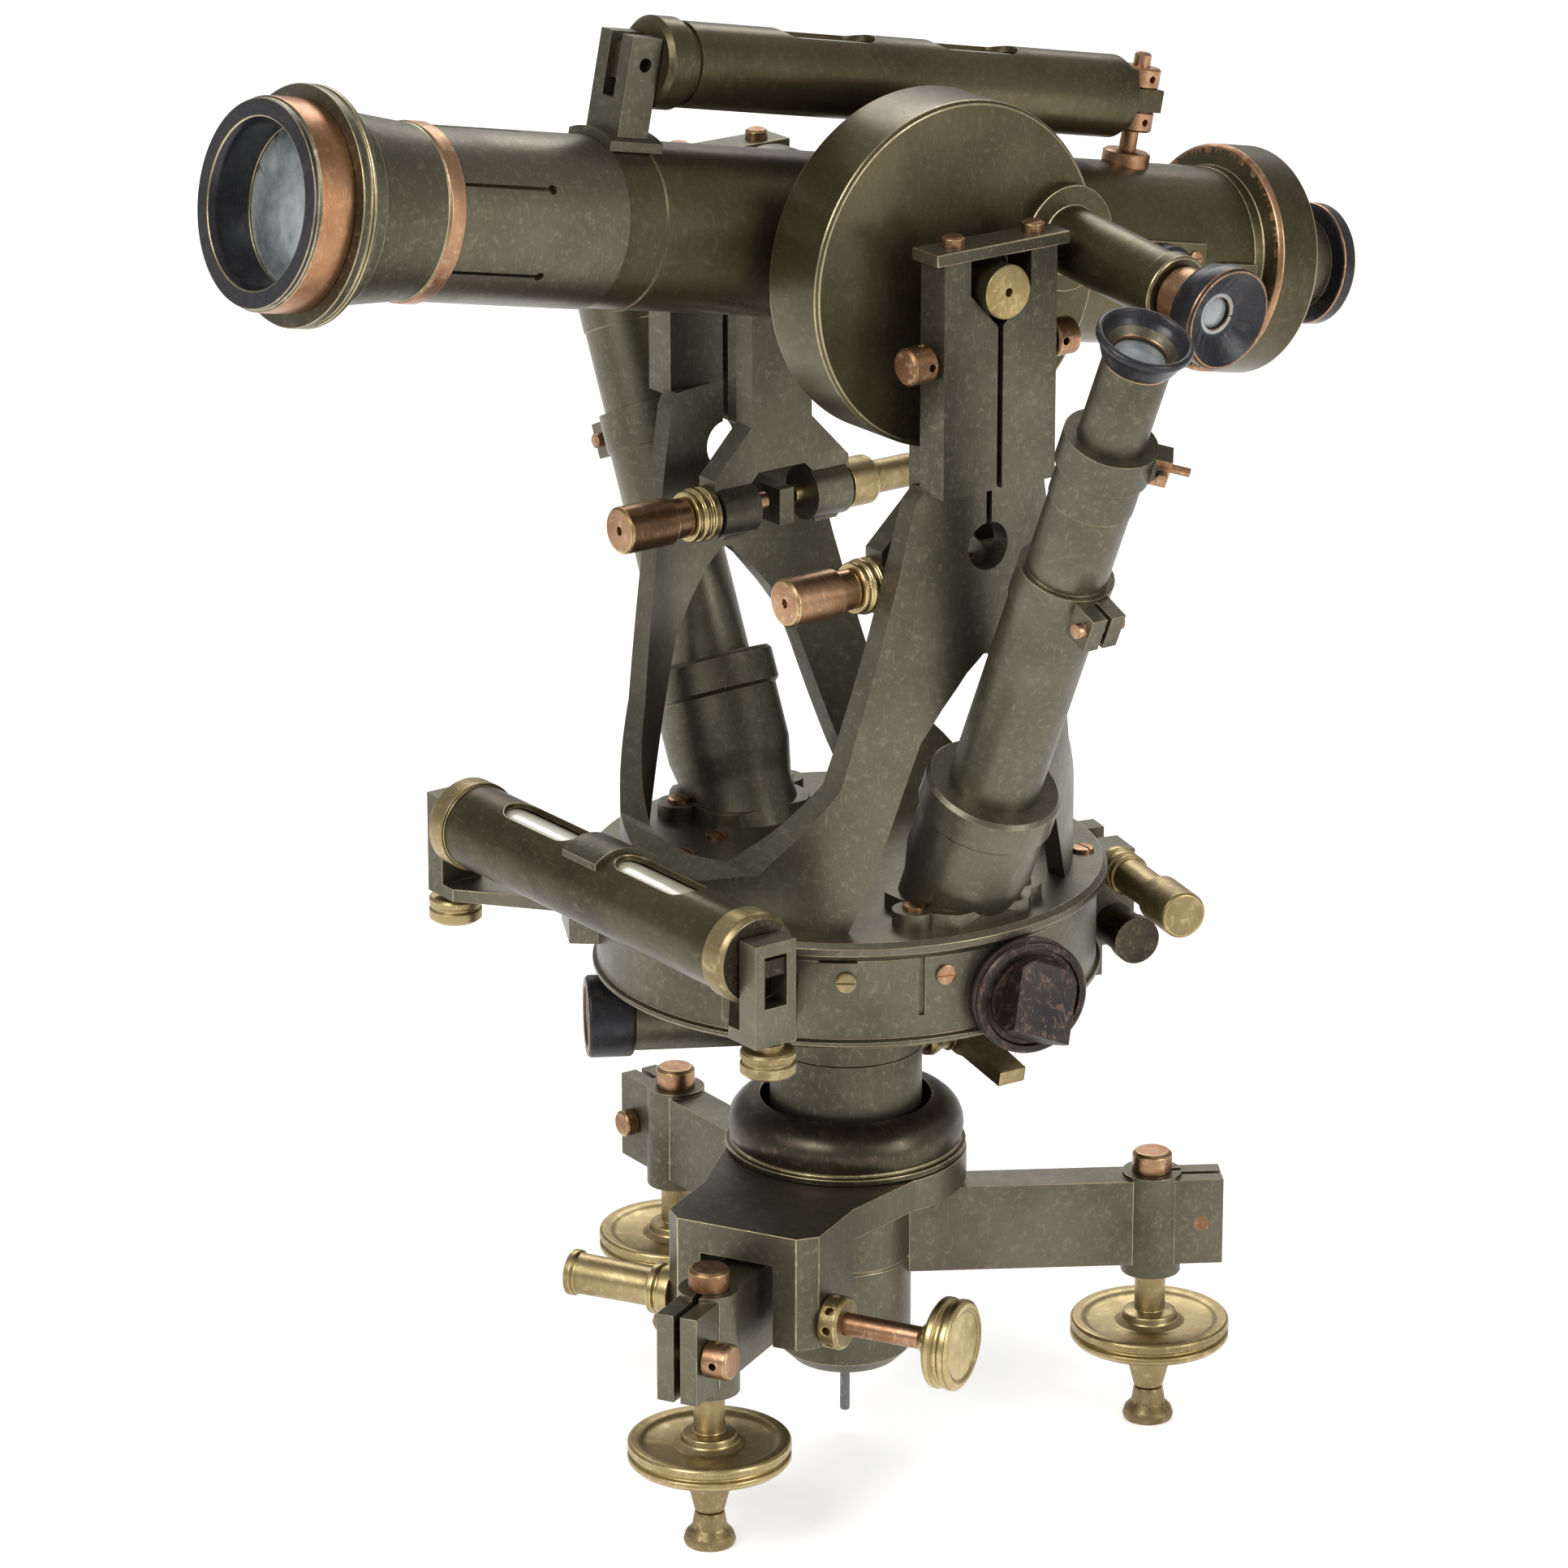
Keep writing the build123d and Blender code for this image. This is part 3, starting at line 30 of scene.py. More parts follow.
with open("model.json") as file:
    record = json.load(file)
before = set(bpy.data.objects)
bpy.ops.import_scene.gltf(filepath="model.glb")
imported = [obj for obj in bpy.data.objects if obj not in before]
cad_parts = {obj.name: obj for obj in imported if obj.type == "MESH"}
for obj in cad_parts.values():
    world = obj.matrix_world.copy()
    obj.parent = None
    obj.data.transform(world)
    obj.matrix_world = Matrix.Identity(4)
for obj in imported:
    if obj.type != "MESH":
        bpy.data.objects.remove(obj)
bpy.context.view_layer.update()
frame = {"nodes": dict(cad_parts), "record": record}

MM = 0.001
EDGE_ANGLE = math.radians(38.0)
WELD_DISTANCE = 0.01 * MM
FLAT_ANGLE = math.radians(0.1)

# Telescope: horizontal axis and tilt in the photo
TRUNNION_HEIGHT = 289.7 * MM
TELESCOPE_TILT = math.radians(11.5)
SCOPE_START = Vector((0, 0, TRUNNION_HEIGHT))
SCOPE_AXIS = Vector((0, -math.cos(TELESCOPE_TILT), math.sin(TELESCOPE_TILT)))
SCOPE_UP = Vector((0, math.sin(TELESCOPE_TILT), math.cos(TELESCOPE_TILT)))
TRUNNION_END_REACH = 55.6 * MM
LEVEL_RISE = 36.0 * MM

# Lower tangent screw: middle of the fork and direction of the screw
CLAMP_TURN = math.radians(-62.1)
CLAMP_REACH = 50.0
CLAMP_HEIGHT = 50.0
LOWER_START = Vector((CLAMP_REACH * math.cos(CLAMP_TURN), CLAMP_REACH * math.sin(CLAMP_TURN),
                      CLAMP_HEIGHT)) * MM
LOWER_AXIS = Vector((-math.sin(CLAMP_TURN), math.cos(CLAMP_TURN), 0))

# Plate level
LEVEL_START = Vector((0, -68.0, 150.0)) * MM
LEVEL_AXIS = Vector((1, 0, 0))
LEVEL_RING_REACH = 9.45 * MM

# Microscopes: the slanted pair and the one on the drum
MICRO_LEAN = math.radians(23.9)
MICRO_FOOT = 40.3
PLATE_TOP = 143.3
VERTICAL_START = Vector((40.4, 29.0, 294.0)) * MM
VERTICAL_AXIS = Vector((0.989, 0.053, -0.1385)).normalized()

node_body = {}
for body_name, node_names in frame["record"]["behaviour"]["bodies"].items():
    for node_name in node_names:
        node_body[node_name] = body_name


# Shader group shared by the finishes; scales of its noises per metre

BLOTCH_SCALE = 26.0
SPECK_SCALE = 420.0
SCRATCH_SCALE = 160.0
GRAIN_SCALE = 1900.0


def new_group(name, inputs, outputs):
    group = bpy.data.node_groups.new(name, "ShaderNodeTree")
    for label, kind, value in inputs:
        socket = group.interface.new_socket(name=label, in_out="INPUT", socket_type=kind)
        socket.default_value = value
    for label, kind in outputs:
        group.interface.new_socket(name=label, in_out="OUTPUT", socket_type=kind)
    return group, group.nodes.new("NodeGroupInput"), group.nodes.new("NodeGroupOutput")


def noise(tree, vector, scale, detail, rough):
    node = tree.nodes.new("ShaderNodeTexNoise")
    node.inputs["Scale"].default_value = scale
    node.inputs["Detail"].default_value = detail
    node.inputs["Roughness"].default_value = rough
    tree.links.new(vector, node.inputs["Vector"])
    return node


def remap(tree, value, low, high, to_low=0.0, to_high=1.0):
    node = tree.nodes.new("ShaderNodeMapRange")
    node.inputs["From Min"].default_value = low
    node.inputs["From Max"].default_value = high
    node.inputs["To Min"].default_value = to_low
    node.inputs["To Max"].default_value = to_high
    tree.links.new(value, node.inputs["Value"])
    return node.outputs["Result"]


def mathop(tree, operation, first, second):
    node = tree.nodes.new("ShaderNodeMath")
    node.operation = operation
    for index, value in enumerate((first, second)):
        if isinstance(value, (int, float)):
            node.inputs[index].default_value = value
        else:
            tree.links.new(value, node.inputs[index])
    return node.outputs[0]


def mix_colour(tree, factor, first, second):
    node = tree.nodes.new("ShaderNodeMix")
    node.data_type = "RGBA"
    for socket, value in ((0, factor), (6, first), (7, second)):
        if isinstance(value, (int, float, tuple)):
            node.inputs[socket].default_value = value
        else:
            tree.links.new(value, node.inputs[socket])
    return node.outputs[2]


def build_tarnish():
    """Blotches, fine specks, scratches and a grain height on Object coordinates."""
    tree, given, out = new_group(
        "tarnish_of_old_brass",
        [("Blotch Scale", "NodeSocketFloat", BLOTCH_SCALE),
         ("Speck Scale", "NodeSocketFloat", SPECK_SCALE)],
        [(label, "NodeSocketFloat") for label in ("Blotch", "Speck", "Scratch", "Height")])
    where = tree.nodes.new("ShaderNodeTexCoord").outputs["Object"]
    blotch = noise(tree, where, BLOTCH_SCALE, 6.0, 0.62)
    tree.links.new(given.outputs["Blotch Scale"], blotch.inputs["Scale"])
    speck = noise(tree, where, SPECK_SCALE, 4.0, 0.7)
    tree.links.new(given.outputs["Speck Scale"], speck.inputs["Scale"])
    stretch = tree.nodes.new("ShaderNodeMapping")
    stretch.inputs["Scale"].default_value = (1.0, 14.0, 2.0)
    stretch.inputs["Rotation"].default_value = (0.3, 0.5, 0.2)
    tree.links.new(where, stretch.inputs["Vector"])
    scratch = noise(tree, stretch.outputs["Vector"], SCRATCH_SCALE, 3.0, 0.5)
    grain = noise(tree, where, GRAIN_SCALE, 2.0, 0.6)
    tree.links.new(remap(tree, blotch.outputs["Fac"], 0.36, 0.66), out.inputs["Blotch"])
    tree.links.new(remap(tree, speck.outputs["Fac"], 0.53, 0.68), out.inputs["Speck"])
    tree.links.new(remap(tree, scratch.outputs["Fac"], 0.62, 0.72), out.inputs["Scratch"])
    speck_part = mathop(tree, "MULTIPLY", speck.outputs["Fac"], 0.7)
    grain_part = mathop(tree, "MULTIPLY", grain.outputs["Fac"], 0.3)
    tree.links.new(mathop(tree, "ADD", speck_part, grain_part), out.inputs["Height"])
    return tree


TARNISH = build_tarnish()


# Finishes

def finish(name, dark, light, worn, rough_low, rough_high, metallic, wear=0.5, bump=0.12,
           blotch_scale=BLOTCH_SCALE, speck_scale=SPECK_SCALE, coat=0.0):
    """Metal whose colour runs from dark to light in blotches, with worn specks and scratches."""
    material = bpy.data.materials.new(name)
    material.use_nodes = True
    tree = material.node_tree
    shader = tree.nodes["Principled BSDF"]
    group = tree.nodes.new("ShaderNodeGroup")
    group.node_tree = TARNISH
    group.inputs["Blotch Scale"].default_value = blotch_scale
    group.inputs["Speck Scale"].default_value = speck_scale
    base = mix_colour(tree, group.outputs["Blotch"], (*dark, 1), (*light, 1))
    speck = mathop(tree, "MULTIPLY", group.outputs["Speck"], wear)
    scratch = mathop(tree, "MULTIPLY", group.outputs["Scratch"], min(1.0, wear * 1.2))
    both = mathop(tree, "MAXIMUM", speck, scratch)
    colour = mix_colour(tree, both, base, (*worn, 1))
    tree.links.new(colour, shader.inputs["Base Color"])
    tree.links.new(remap(tree, group.outputs["Blotch"], 0.0, 1.0, rough_high, rough_low),
                   shader.inputs["Roughness"])
    shader.inputs["Metallic"].default_value = metallic
    shader.inputs["Coat Weight"].default_value = coat
    if coat:
        shader.inputs["Coat Roughness"].default_value = 0.25
    relief = tree.nodes.new("ShaderNodeBump")
    relief.inputs["Strength"].default_value = bump
    relief.inputs["Distance"].default_value = 0.4 * MM
    tree.links.new(group.outputs["Height"], relief.inputs["Height"])
    tree.links.new(relief.outputs["Normal"], shader.inputs["Normal"])
    return material


olive = finish("olive_brown_patina", (0.05, 0.041, 0.02), (0.125, 0.103, 0.053),
               (0.28, 0.22, 0.12), 0.26, 0.42, 0.8, 0.22, 0.08, 18.0, 620.0)
grey_bronze = finish("grey_worn_bronze", (0.085, 0.077, 0.052), (0.165, 0.152, 0.108),
                     (0.36, 0.33, 0.24), 0.33, 0.47, 0.85, 0.24, 0.12, 16.0, 620.0)
grey_olive = finish("grey_olive_patina", (0.075, 0.067, 0.043), (0.155, 0.14, 0.096),
                    (0.36, 0.32, 0.22), 0.3, 0.45, 0.85, 0.28, 0.1, 16.0, 620.0)
orange_copper = finish("orange_copper_band", (0.3, 0.14, 0.07), (0.5, 0.27, 0.14),
                       (0.66, 0.42, 0.26), 0.24, 0.42, 1.0, 0.4)
dark_bronze = finish("dark_bronze", (0.03, 0.025, 0.016), (0.09, 0.078, 0.05), (0.28, 0.2, 0.11),
                     0.28, 0.46, 0.8, 0.3)
black_lacquer = finish("black_lacquer", (0.012, 0.012, 0.015), (0.035, 0.035, 0.042),
                       (0.2, 0.14, 0.1), 0.22, 0.4, 0.35, 0.16, 0.08)
brown_lacquer = finish("brown_black_lacquer", (0.014, 0.012, 0.012), (0.06, 0.045, 0.038),
                       (0.3, 0.17, 0.1), 0.24, 0.42, 0.5, 0.4, 0.1)
worn_edge = finish("edge_worn_to_brass", (0.22, 0.18, 0.1), (0.5, 0.42, 0.26), (0.7, 0.6, 0.4),
                   0.25, 0.42, 0.95, 0.5)
raw_brass = finish("raw_brass", (0.34, 0.25, 0.1), (0.62, 0.49, 0.24), (0.78, 0.64, 0.36),
                   0.24, 0.44, 1.0, 0.5)
dull_brass = finish("dull_brass", (0.2, 0.15, 0.07), (0.44, 0.34, 0.17), (0.6, 0.48, 0.26),
                    0.3, 0.5, 0.95, 0.5)
copper = finish("reddish_copper_metal", (0.24, 0.12, 0.06), (0.52, 0.31, 0.18), (0.72, 0.5, 0.34),
                0.26, 0.45, 1.0, 0.5)
steel = finish("dark_steel", (0.12, 0.12, 0.12), (0.3, 0.3, 0.3), (0.5, 0.48, 0.45),
               0.3, 0.5, 1.0, 0.4)
lens_depth = finish("grey_lens_depth", (0.16, 0.18, 0.19), (0.42, 0.45, 0.46), (0.5, 0.52, 0.52),
                    0.08, 0.2, 0.1, 0.1, 0.0, 90.0, 420.0, 1.0)
vial_paper = finish("pale_vial_glass", (0.5, 0.47, 0.33), (0.66, 0.64, 0.54), (0.75, 0.72, 0.6),
                    0.1, 0.25, 0.0, 0.2, 0.0, 120.0, 420.0, 1.0)


# Modelling helpers

def drop_selection():
    if bpy.context.object and bpy.context.object.mode != "OBJECT":
        bpy.ops.object.mode_set(mode="OBJECT")
    bpy.ops.object.select_all(action="DESELECT")


def make_active(piece):
    drop_selection()
    piece.select_set(True)
    bpy.context.view_layer.objects.active = piece


def apply_place(piece):
    make_active(piece)
    bpy.ops.object.transform_apply(location=True, rotation=True, scale=True)


def soften(piece, width, segments, edge_index):
    """Small bevel on the sharp edges, then smooth shading with flat faces kept flat."""
    make_active(piece)
    if width:
        bevel = piece.modifiers.new("edges", "BEVEL")
        bevel.width = width
        bevel.segments = segments
        bevel.limit_method = "ANGLE"
        bevel.angle_limit = EDGE_ANGLE
        bevel.use_clamp_overlap = True
        bevel.material = edge_index
        bpy.ops.object.modifier_apply(modifier=bevel.name)
    bpy.ops.object.shade_smooth_by_angle(angle=EDGE_ANGLE)
    even = piece.modifiers.new("even_normals", "WEIGHTED_NORMAL")
    even.keep_sharp = True
    bpy.ops.object.modifier_apply(modifier=even.name)


def paint(piece, material, test):
    """Give a material to the faces whose centre and normal pass the test."""
    piece.data.materials.append(material)
    index = len(piece.data.materials) - 1
    for face in piece.data.polygons:
        if test(face.center, face.normal):
            face.material_index = index


def along(point, start, axis):
    """Distance along an axis and distance from it."""
    step = point - start
    run = step.dot(axis)
    return run, (step - axis * run).length


def dress(piece, body, main, edge=None, width=0.25 * MM, segments=2):
    """Give a finished piece its materials, edges and body."""
    piece.data.materials.clear()
    piece.data.materials.append(main)
    if edge:
        piece.data.materials.append(edge)
    soften(piece, width, segments, 1 if edge else 0)
    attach(piece, body)
    return piece


def cast(node, main, edge=worn_edge, width=0.25 * MM, segments=2, merge_flat=True):
    """The CAD piece with welded faces and worn, rounded edges, in place of the plain one."""
    source = frame["nodes"][node]
    piece = source.copy()
    piece.data = source.data.copy()
    piece.name = node + "_metal"
    bpy.context.scene.collection.objects.link(piece)
    piece.parent = None
    piece.matrix_world = Matrix.Identity(4)
    make_active(piece)
    bpy.ops.object.mode_set(mode="EDIT")
    bpy.ops.mesh.select_all(action="SELECT")
    bpy.ops.mesh.remove_doubles(threshold=WELD_DISTANCE)
    if merge_flat:
        bpy.ops.mesh.dissolve_limited(angle_limit=FLAT_ANGLE)
    bpy.ops.object.mode_set(mode="OBJECT")
    dress(piece, node_body[node], main, edge, width, segments)
    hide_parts(node)
    return piece


# Pieces taken over from the part, with their finishes

for node in ("tribrach", "lower_clamp", "circle_axis", "plate_housing", "upper_clamp",
             "bearing_caps", "plate_level_mounts", "plate_level_strap", "clamp_arm", "index_arm"):
    cast(node, grey_bronze)
for node in ("near_microscope_base", "far_microscope_base"):
    cast(node, grey_bronze, worn_edge, 0.15 * MM, 2, False)
cast("standards", grey_bronze, worn_edge, 0.4 * MM)
for node in ("drum_casing", "scope_level_tube", "vertical_microscope"):
    cast(node, olive)
main_tube = cast("main_tube", olive, merge_flat=False)
paint(main_tube, raw_brass, lambda c, n: abs(c.x) > TRUNNION_END_REACH)
flange = cast("side_flange", olive)
paint(flange, black_lacquer, lambda c, n: c.x > 22.6 * MM and c.y < 85 * MM)
cast("slit_sleeve", grey_olive)
cast("dust_collar", dark_bronze)
cast("bottom_cover", dark_bronze)
cast("upper_clamp_head", black_lacquer, copper)
for node in ("light_hood", "light_socket"):
    cast(node, brown_lacquer, copper)
lower = cast("lower_tangent_screw", raw_brass, dull_brass)
paint(lower, copper, lambda c, n: along(c, LOWER_START, LOWER_AXIS)[1] < 3.0 * MM
      and along(c, LOWER_START, LOWER_AXIS)[0] < 46 * MM)
for node in ("lower_nut_and_barrel", "lever_key", "plate_level_knobs", "upper_tangent_screw",
             "index_collar_plunger", "clamp_collar_plunger", "foot_screw_1", "foot_screw_2",
             "foot_screw_3"):
    cast(node, dull_brass, raw_brass)
for node in ("foot_caps_and_screws", "block_screws", "index_tangent_screw", "clamp_tangent_screw"):
    cast(node, copper, raw_brass, 0.2 * MM)
for node in ("foot_tip_1", "foot_tip_2", "foot_tip_3"):
    cast(node, dull_brass, copper)
cast("plumb_pin", steel, steel)
for node in ("horizontal_circle", "vertical_circle"):
    cast(node, raw_brass, None, 0)
for node in ("plate_level_vial", "scope_level_vial"):
    cast(node, vial_paper, None, 0)

bracket = cast("tangent_bracket", grey_bronze)
paint(bracket, dark_bronze, lambda c, n: 115 * MM < c.z < 126.2 * MM and c.x > 23 * MM)


def band(start, axis):
    """Maker of tests for faces in a band round an axis, in millimetres."""
    def limits(run_low, run_high, reach_low, reach_high):
        def test(centre, normal):
            run, reach = along(centre, start, axis)
            return run_low <= run / MM <= run_high and reach_low <= reach / MM <= reach_high
        return test
    return limits


on_scope = band(SCOPE_START, SCOPE_AXIS)
rear = cast("rear_drum", olive)
paint(rear, copper, on_scope(-107.0, -105.2, 24.5, 27))
plate_level = cast("plate_level_tube", olive)


def level_end(centre, normal):
    run, reach = along(centre, LEVEL_START, LEVEL_AXIS)
    return reach > LEVEL_RING_REACH and (run > 51.9 * MM or run < -49.9 * MM)


paint(plate_level, dull_brass, level_end)
paint(plate_level, dark_bronze, lambda c, n: c.x > 58.4 * MM and n.x > 0.9)
bell = cast("objective_bell", grey_olive)
paint(bell, copper, on_scope(117.9, 122.2, 18.4, 20.4))
bezel = cast("objective_bezel", black_lacquer, worn_edge)
paint(bezel, orange_copper, on_scope(149.1, 157.2, 22.5, 24))
cast("objective_lens", lens_depth, None, 0)
rear_eye = cast("scope_eyepiece", black_lacquer, copper)
paint(rear_eye, grey_olive, on_scope(-137.5, -110, 10, 11))

mounts = cast("scope_level_mounts", grey_bronze, worn_edge, 0.2 * MM)
paint(mounts, copper, on_scope(-90, -60, 0, 80))
paint(mounts, copper, lambda c, n: abs(c.x) > 6.05 * MM
      and along(c, SCOPE_START, SCOPE_AXIS)[1] > 33 * MM)


def micro_band(side):
    """Band tests along a slanted microscope, side 1 near and side -1 far."""
    start = Vector((side * MICRO_FOOT, 0, PLATE_TOP)) * MM
    return band(start, Vector((side * math.sin(MICRO_LEAN), 0, math.cos(MICRO_LEAN))))


for name, side in (("near", 1), ("far", -1)):
    tube = cast(name + "_microscope_tube", grey_bronze)
    on_micro = micro_band(side)
    paint(tube, copper, on_micro(120, 140, 13.0, 22))
    paint(tube, copper, lambda c, n: abs(c.y) > 4.7 * MM and on_micro(88, 97, 12, 20)(c, n))
    eye = cast(name + "_microscope_eyepiece", grey_bronze, copper)
    paint(eye, black_lacquer, on_micro(153.6, 162, 8.0, 12))
    paint(eye, lens_depth, on_micro(150, 157.5, 0, 6.05))

vertical_band = band(VERTICAL_START, VERTICAL_AXIS)
side_eye = cast("vertical_eyepiece", black_lacquer, copper)
paint(side_eye, lens_depth, vertical_band(46, 53, 0, 3.62))
paint(side_eye, copper, vertical_band(37, 44.5, 6, 8))


# Slotted screws

HEAD_RADIUS = 1.0 * MM
HEAD_DEPTH = 0.5 * MM
HEAD_RIM = 0.3 * MM
HEAD_DOME = 0.12 * MM
SLOT_MIDDLE = 0.42 * MM
SLOT_SIZE = (3.0 * MM, 0.2 * MM, 0.5 * MM)


def screw_pattern():
    """Low domed head of 1 mm radius with a cut slot."""
    drop_selection()
    bpy.ops.mesh.primitive_cylinder_add(vertices=40, radius=HEAD_RADIUS, depth=HEAD_DEPTH)
    head = bpy.context.object
    head.name = "screw_pattern"
    for face in head.data.polygons:
        face.select = False
    for edge in head.data.edges:
        edge.select = False
    for corner in head.data.vertices:
        corner.select = False
    for face in head.data.polygons:
        if face.normal.z > 0.9:
            face.select = True
    bpy.ops.object.mode_set(mode="EDIT")
    bpy.ops.mesh.select_mode(type="FACE")
    bpy.ops.mesh.inset(thickness=HEAD_RIM)
    bpy.ops.transform.translate(value=(0, 0, HEAD_DOME))
    bpy.ops.object.mode_set(mode="OBJECT")
    drop_selection()
    bpy.ops.mesh.primitive_cube_add(size=1.0, location=(0, 0, SLOT_MIDDLE))
    cutter = bpy.context.object
    cutter.scale = SLOT_SIZE
    apply_place(cutter)
    make_active(head)
    slot = head.modifiers.new("slot", "BOOLEAN")
    slot.operation = "DIFFERENCE"
    slot.object = cutter
    bpy.ops.object.modifier_apply(modifier=slot.name)
    bpy.data.objects.remove(cutter)
    return head


def slotted_screw(name, body, place, normal, size, material):
    """A copy of the screw head, standing on a face; place and size in millimetres."""
    head = SCREW.copy()
    head.data = SCREW.data.copy()
    head.name = name
    bpy.context.scene.collection.objects.link(head)
    head.scale = (size, size, size)
    head.location = Vector(place) * MM
    head.rotation_euler = Vector(normal).to_track_quat("Z", "Y").to_euler()
    apply_place(head)
    return dress(head, body, material, None, 0)


SCREW = screw_pattern()

# Wall screws: turn in degrees, reach, slot and metal; sizes in millimetres
WALL_SCREW_HEIGHT = 134.0
WALL_SCREW_SIZE = 2.3
WALL_SCREWS = ((-36.9, 58.8, "raw_brass", dull_brass), (-14.2, 57.8, "copper", copper))
for index, (angle, reach, slot, metal) in enumerate(WALL_SCREWS):
    across, deep = math.cos(math.radians(angle)), math.sin(math.radians(angle))
    slotted_screw(f"wall_screw_{index + 1}", "alidade",
                  (reach * across, reach * deep, WALL_SCREW_HEIGHT), (across, deep, 0),
                  WALL_SCREW_SIZE, metal)

# Cover screws on the plate: x, y and lift above the plate, in millimetres
PLATE_SCREW_SIZE = 2.6
PLATE_SCREWS = ((45.3, -15.0, 3.6), (45.3, 15.0, 3.6), (-45.3, -15.0, 3.6), (-45.3, 15.0, 3.6),
                (30.0, -45.5, 0.2), (-30.0, -45.5, 0.2), (30.0, 45.5, 0.2), (-30.0, 45.5, 0.2),
                (-27.5, -17.0, 0.2), (-22.0, -30.0, 0.2), (22.0, -30.0, 0.2))
for index, (x, y, lift) in enumerate(PLATE_SCREWS):
    slotted_screw(f"plate_screw_{index + 1}", "alidade", (x, y, PLATE_TOP + lift), (0, 0, 1),
                  PLATE_SCREW_SIZE, copper)

# Flange screws on the telescope's side
FLANGE_FACE = Vector((22.5, 0, 0))
FLANGE_RISE = 3.5
FLANGE_SCREW_SIZE = 1.8
for index, run in enumerate((-64.5, -83.0)):
    place = SCOPE_START / MM + SCOPE_AXIS * run + SCOPE_UP * FLANGE_RISE + FLANGE_FACE
    slotted_screw(f"flange_screw_{index + 1}", "telescope", place, (1, 0, 0),
                  FLANGE_SCREW_SIZE, copper)
bpy.data.objects.remove(SCREW)


# Pale inner tubes behind the level windows

def inner_tube(name, body, start, axis, run_low, run_high, radius):
    """Plain round bar along an axis; runs and radius in millimetres."""
    drop_selection()
    bpy.ops.mesh.primitive_cylinder_add(vertices=48, radius=radius * MM,
                                        depth=(run_high - run_low) * MM)
    tube = bpy.context.object
    tube.name = name
    tube.location = start + axis * ((run_low + run_high) / 2 * MM)
    tube.rotation_euler = axis.to_track_quat("Z", "Y").to_euler()
    apply_place(tube)
    return dress(tube, body, vial_paper, None, 0)


inner_tube("plate_level_inner_tube", "alidade", LEVEL_START, LEVEL_AXIS, -49.5, 51.5, 8.0)
inner_tube("scope_level_inner_tube", "telescope", SCOPE_START + SCOPE_UP * LEVEL_RISE,
           SCOPE_AXIS, -63.0, 49.0, 7.8)


# Floor, light and camera

FLOOR_GLOW = 0.45
ROOM_LIGHT = 0.42
FLOOR_SIZE = 8.0


def floor_material():
    """Pale matt floor that the camera sees as nearly white."""
    material = bpy.data.materials.new("pale_floor")
    material.use_nodes = True
    tree = material.node_tree
    shader = tree.nodes["Principled BSDF"]
    shader.inputs["Base Color"].default_value = (0.9, 0.9, 0.9, 1)
    shader.inputs["Roughness"].default_value = 0.9
    shader.inputs["Specular IOR Level"].default_value = 0.0
    ray = tree.nodes.new("ShaderNodeLightPath")
    seen = mathop(tree, "MAXIMUM", ray.outputs["Is Camera Ray"], ray.outputs["Is Glossy Ray"])
    seen = mathop(tree, "MAXIMUM", seen, ray.outputs["Is Transmission Ray"])
    glow = tree.nodes.new("ShaderNodeEmission")
    glow.inputs["Color"].default_value = (1, 1, 1, 1)
    tree.links.new(mathop(tree, "MULTIPLY", seen, FLOOR_GLOW), glow.inputs["Strength"])
    both = tree.nodes.new("ShaderNodeAddShader")
    tree.links.new(shader.outputs["BSDF"], both.inputs[0])
    tree.links.new(glow.outputs["Emission"], both.inputs[1])
    tree.links.new(both.outputs["Shader"], tree.nodes["Material Output"].inputs["Surface"])
    return material


def build_floor():
    drop_selection()
    bpy.ops.mesh.primitive_plane_add(size=FLOOR_SIZE, location=(0, 0, 0))
    floor = bpy.context.object
    floor.name = "pale_floor"
    floor.data.materials.append(floor_material())


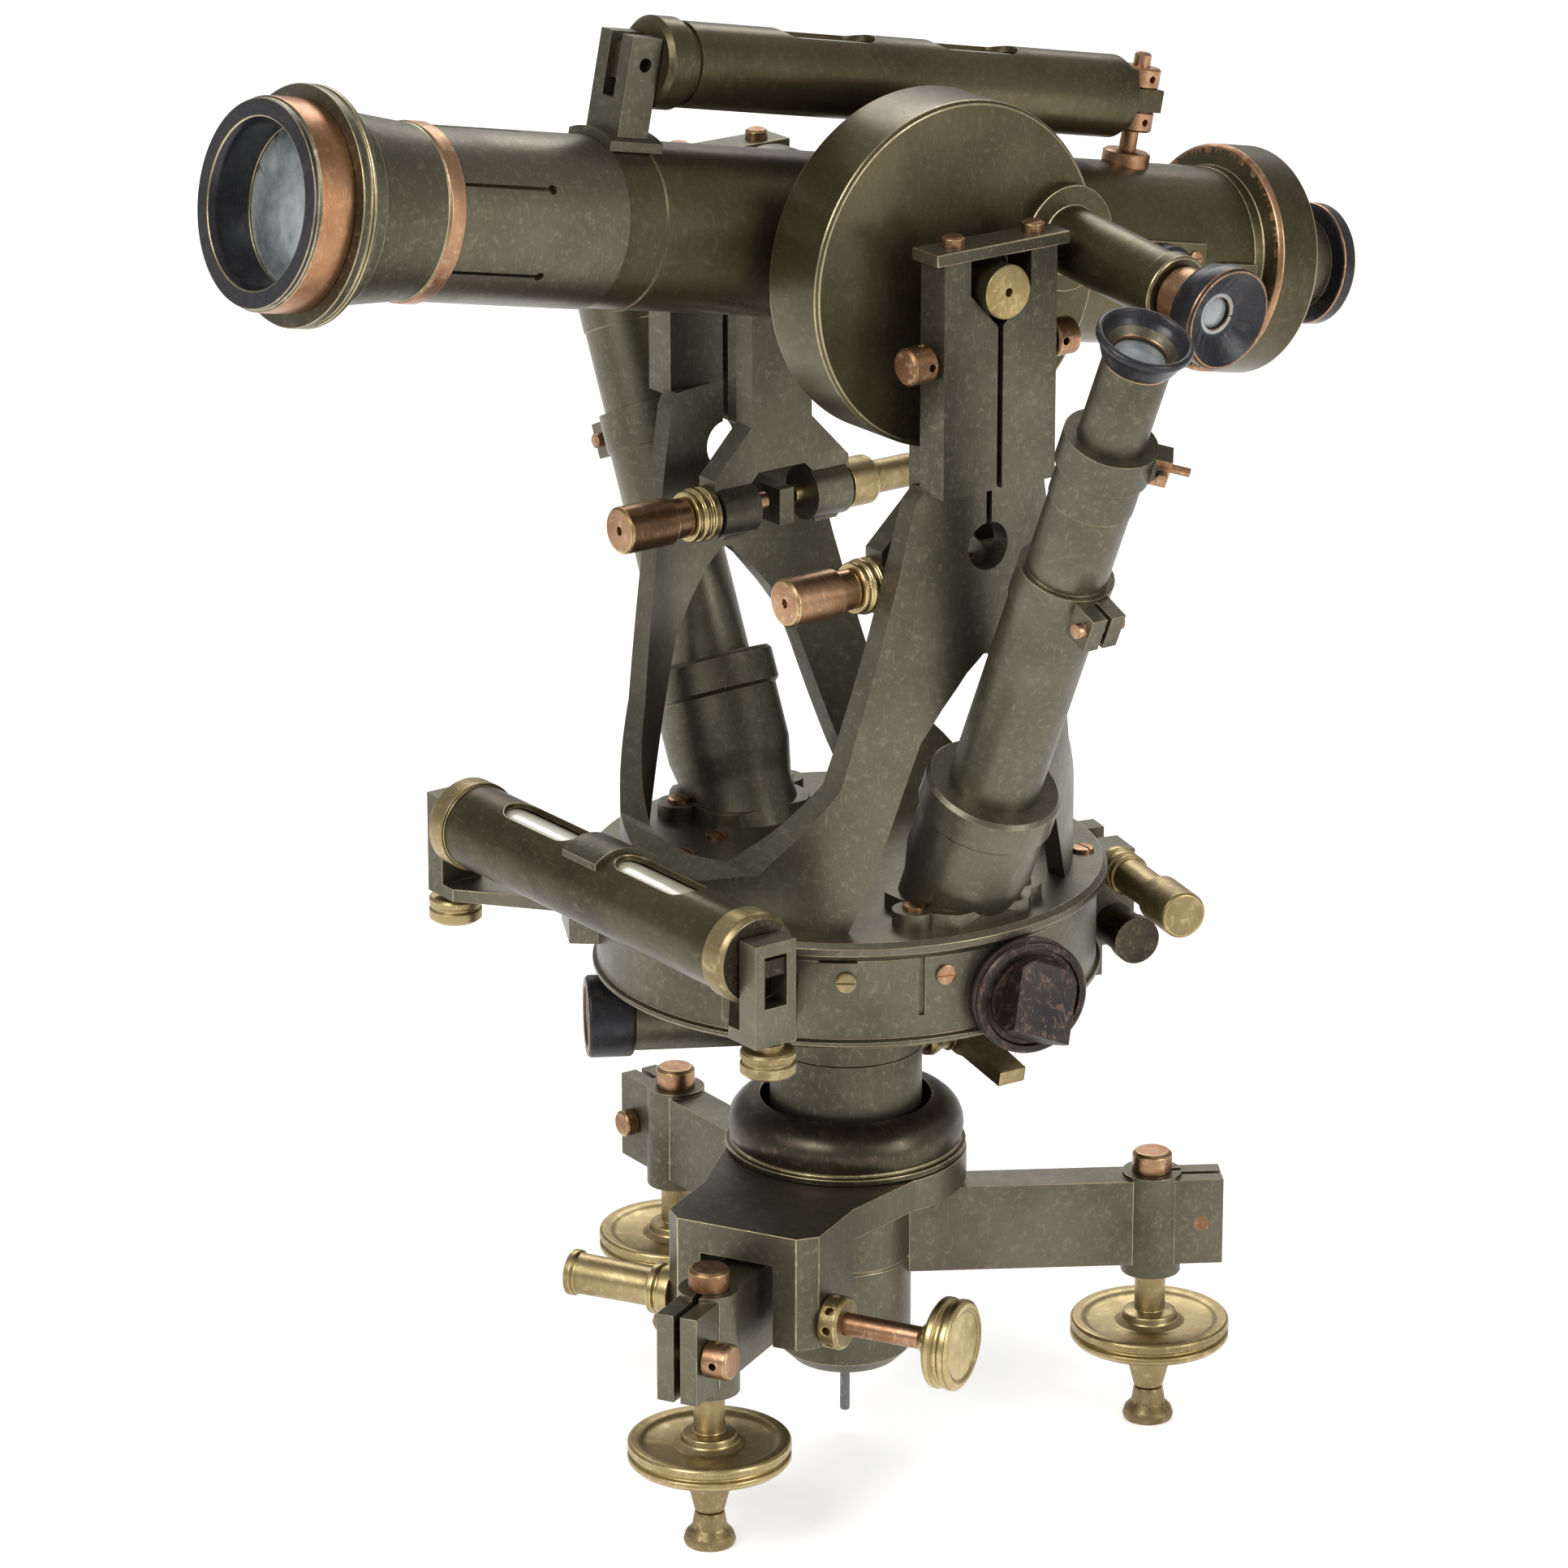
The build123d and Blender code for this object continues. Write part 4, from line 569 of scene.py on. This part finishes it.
def build_world():
    """White behind the part, with a weaker light of its own on it."""
    world = bpy.data.worlds.new("plain_room")
    bpy.context.scene.world = world
    world.use_nodes = True
    tree = world.node_tree
    background = tree.nodes["Background"]
    ray = tree.nodes.new("ShaderNodeLightPath")
    seen = mathop(tree, "MAXIMUM", ray.outputs["Is Camera Ray"], ray.outputs["Is Transmission Ray"])
    background.inputs["Color"].default_value = (1, 1, 1, 1)
    tree.links.new(remap(tree, seen, 0.0, 1.0, ROOM_LIGHT, 1.0), background.inputs["Strength"])


def area_light(name, place, target, size, power):
    data = bpy.data.lights.new(name, "AREA")
    data.shape = "RECTANGLE"
    data.size = size[0]
    data.size_y = size[1]
    data.energy = power
    lamp = bpy.data.objects.new(name, data)
    lamp.location = place
    lamp.rotation_euler = (Vector(target) - Vector(place)).to_track_quat("-Z", "Y").to_euler()
    bpy.context.scene.collection.objects.link(lamp)


def build_camera():
    """Camera at the place fitted to the photo."""
    place = Vector((1.2653, -0.9490, 0.7084))
    side = math.radians(53.13)
    yaw = math.radians(-0.52)
    pitch = math.radians(19.11)
    ahead = Vector((-math.sin(side), math.cos(side), 0))
    right = Vector((math.cos(side), math.sin(side), 0))
    level_ahead = ahead * math.cos(yaw) + right * math.sin(yaw)
    level_right = right * math.cos(yaw) - ahead * math.sin(yaw)
    view = level_ahead * math.cos(pitch) - Vector((0, 0, 1)) * math.sin(pitch)
    up = Vector((0, 0, 1)) * math.cos(pitch) + level_ahead * math.sin(pitch)
    data = bpy.data.cameras.new("photo_camera")
    data.sensor_width = 36.0
    data.lens = 167.7
    data.clip_start = 0.05
    camera = bpy.data.objects.new("photo_camera", data)
    turn = Matrix((level_right, up, -view)).transposed()
    camera.matrix_world = Matrix.Translation(place) @ turn.to_4x4()
    bpy.context.scene.collection.objects.link(camera)
    bpy.context.scene.camera = camera


build_floor()
build_world()
area_light("key_softbox", (0.4, -1.5, 1.5), (0, 0, 0.2), (1.0, 1.0), 22.0)
area_light("side_softbox", (1.7, 0.5, 0.9), (0, 0, 0.2), (0.6, 1.2), 12.0)
area_light("back_softbox", (-1.2, 0.9, 1.4), (0, 0, 0.2), (1.2, 0.8), 12.0)
build_camera()
bpy.context.scene.view_settings.view_transform = "Standard"
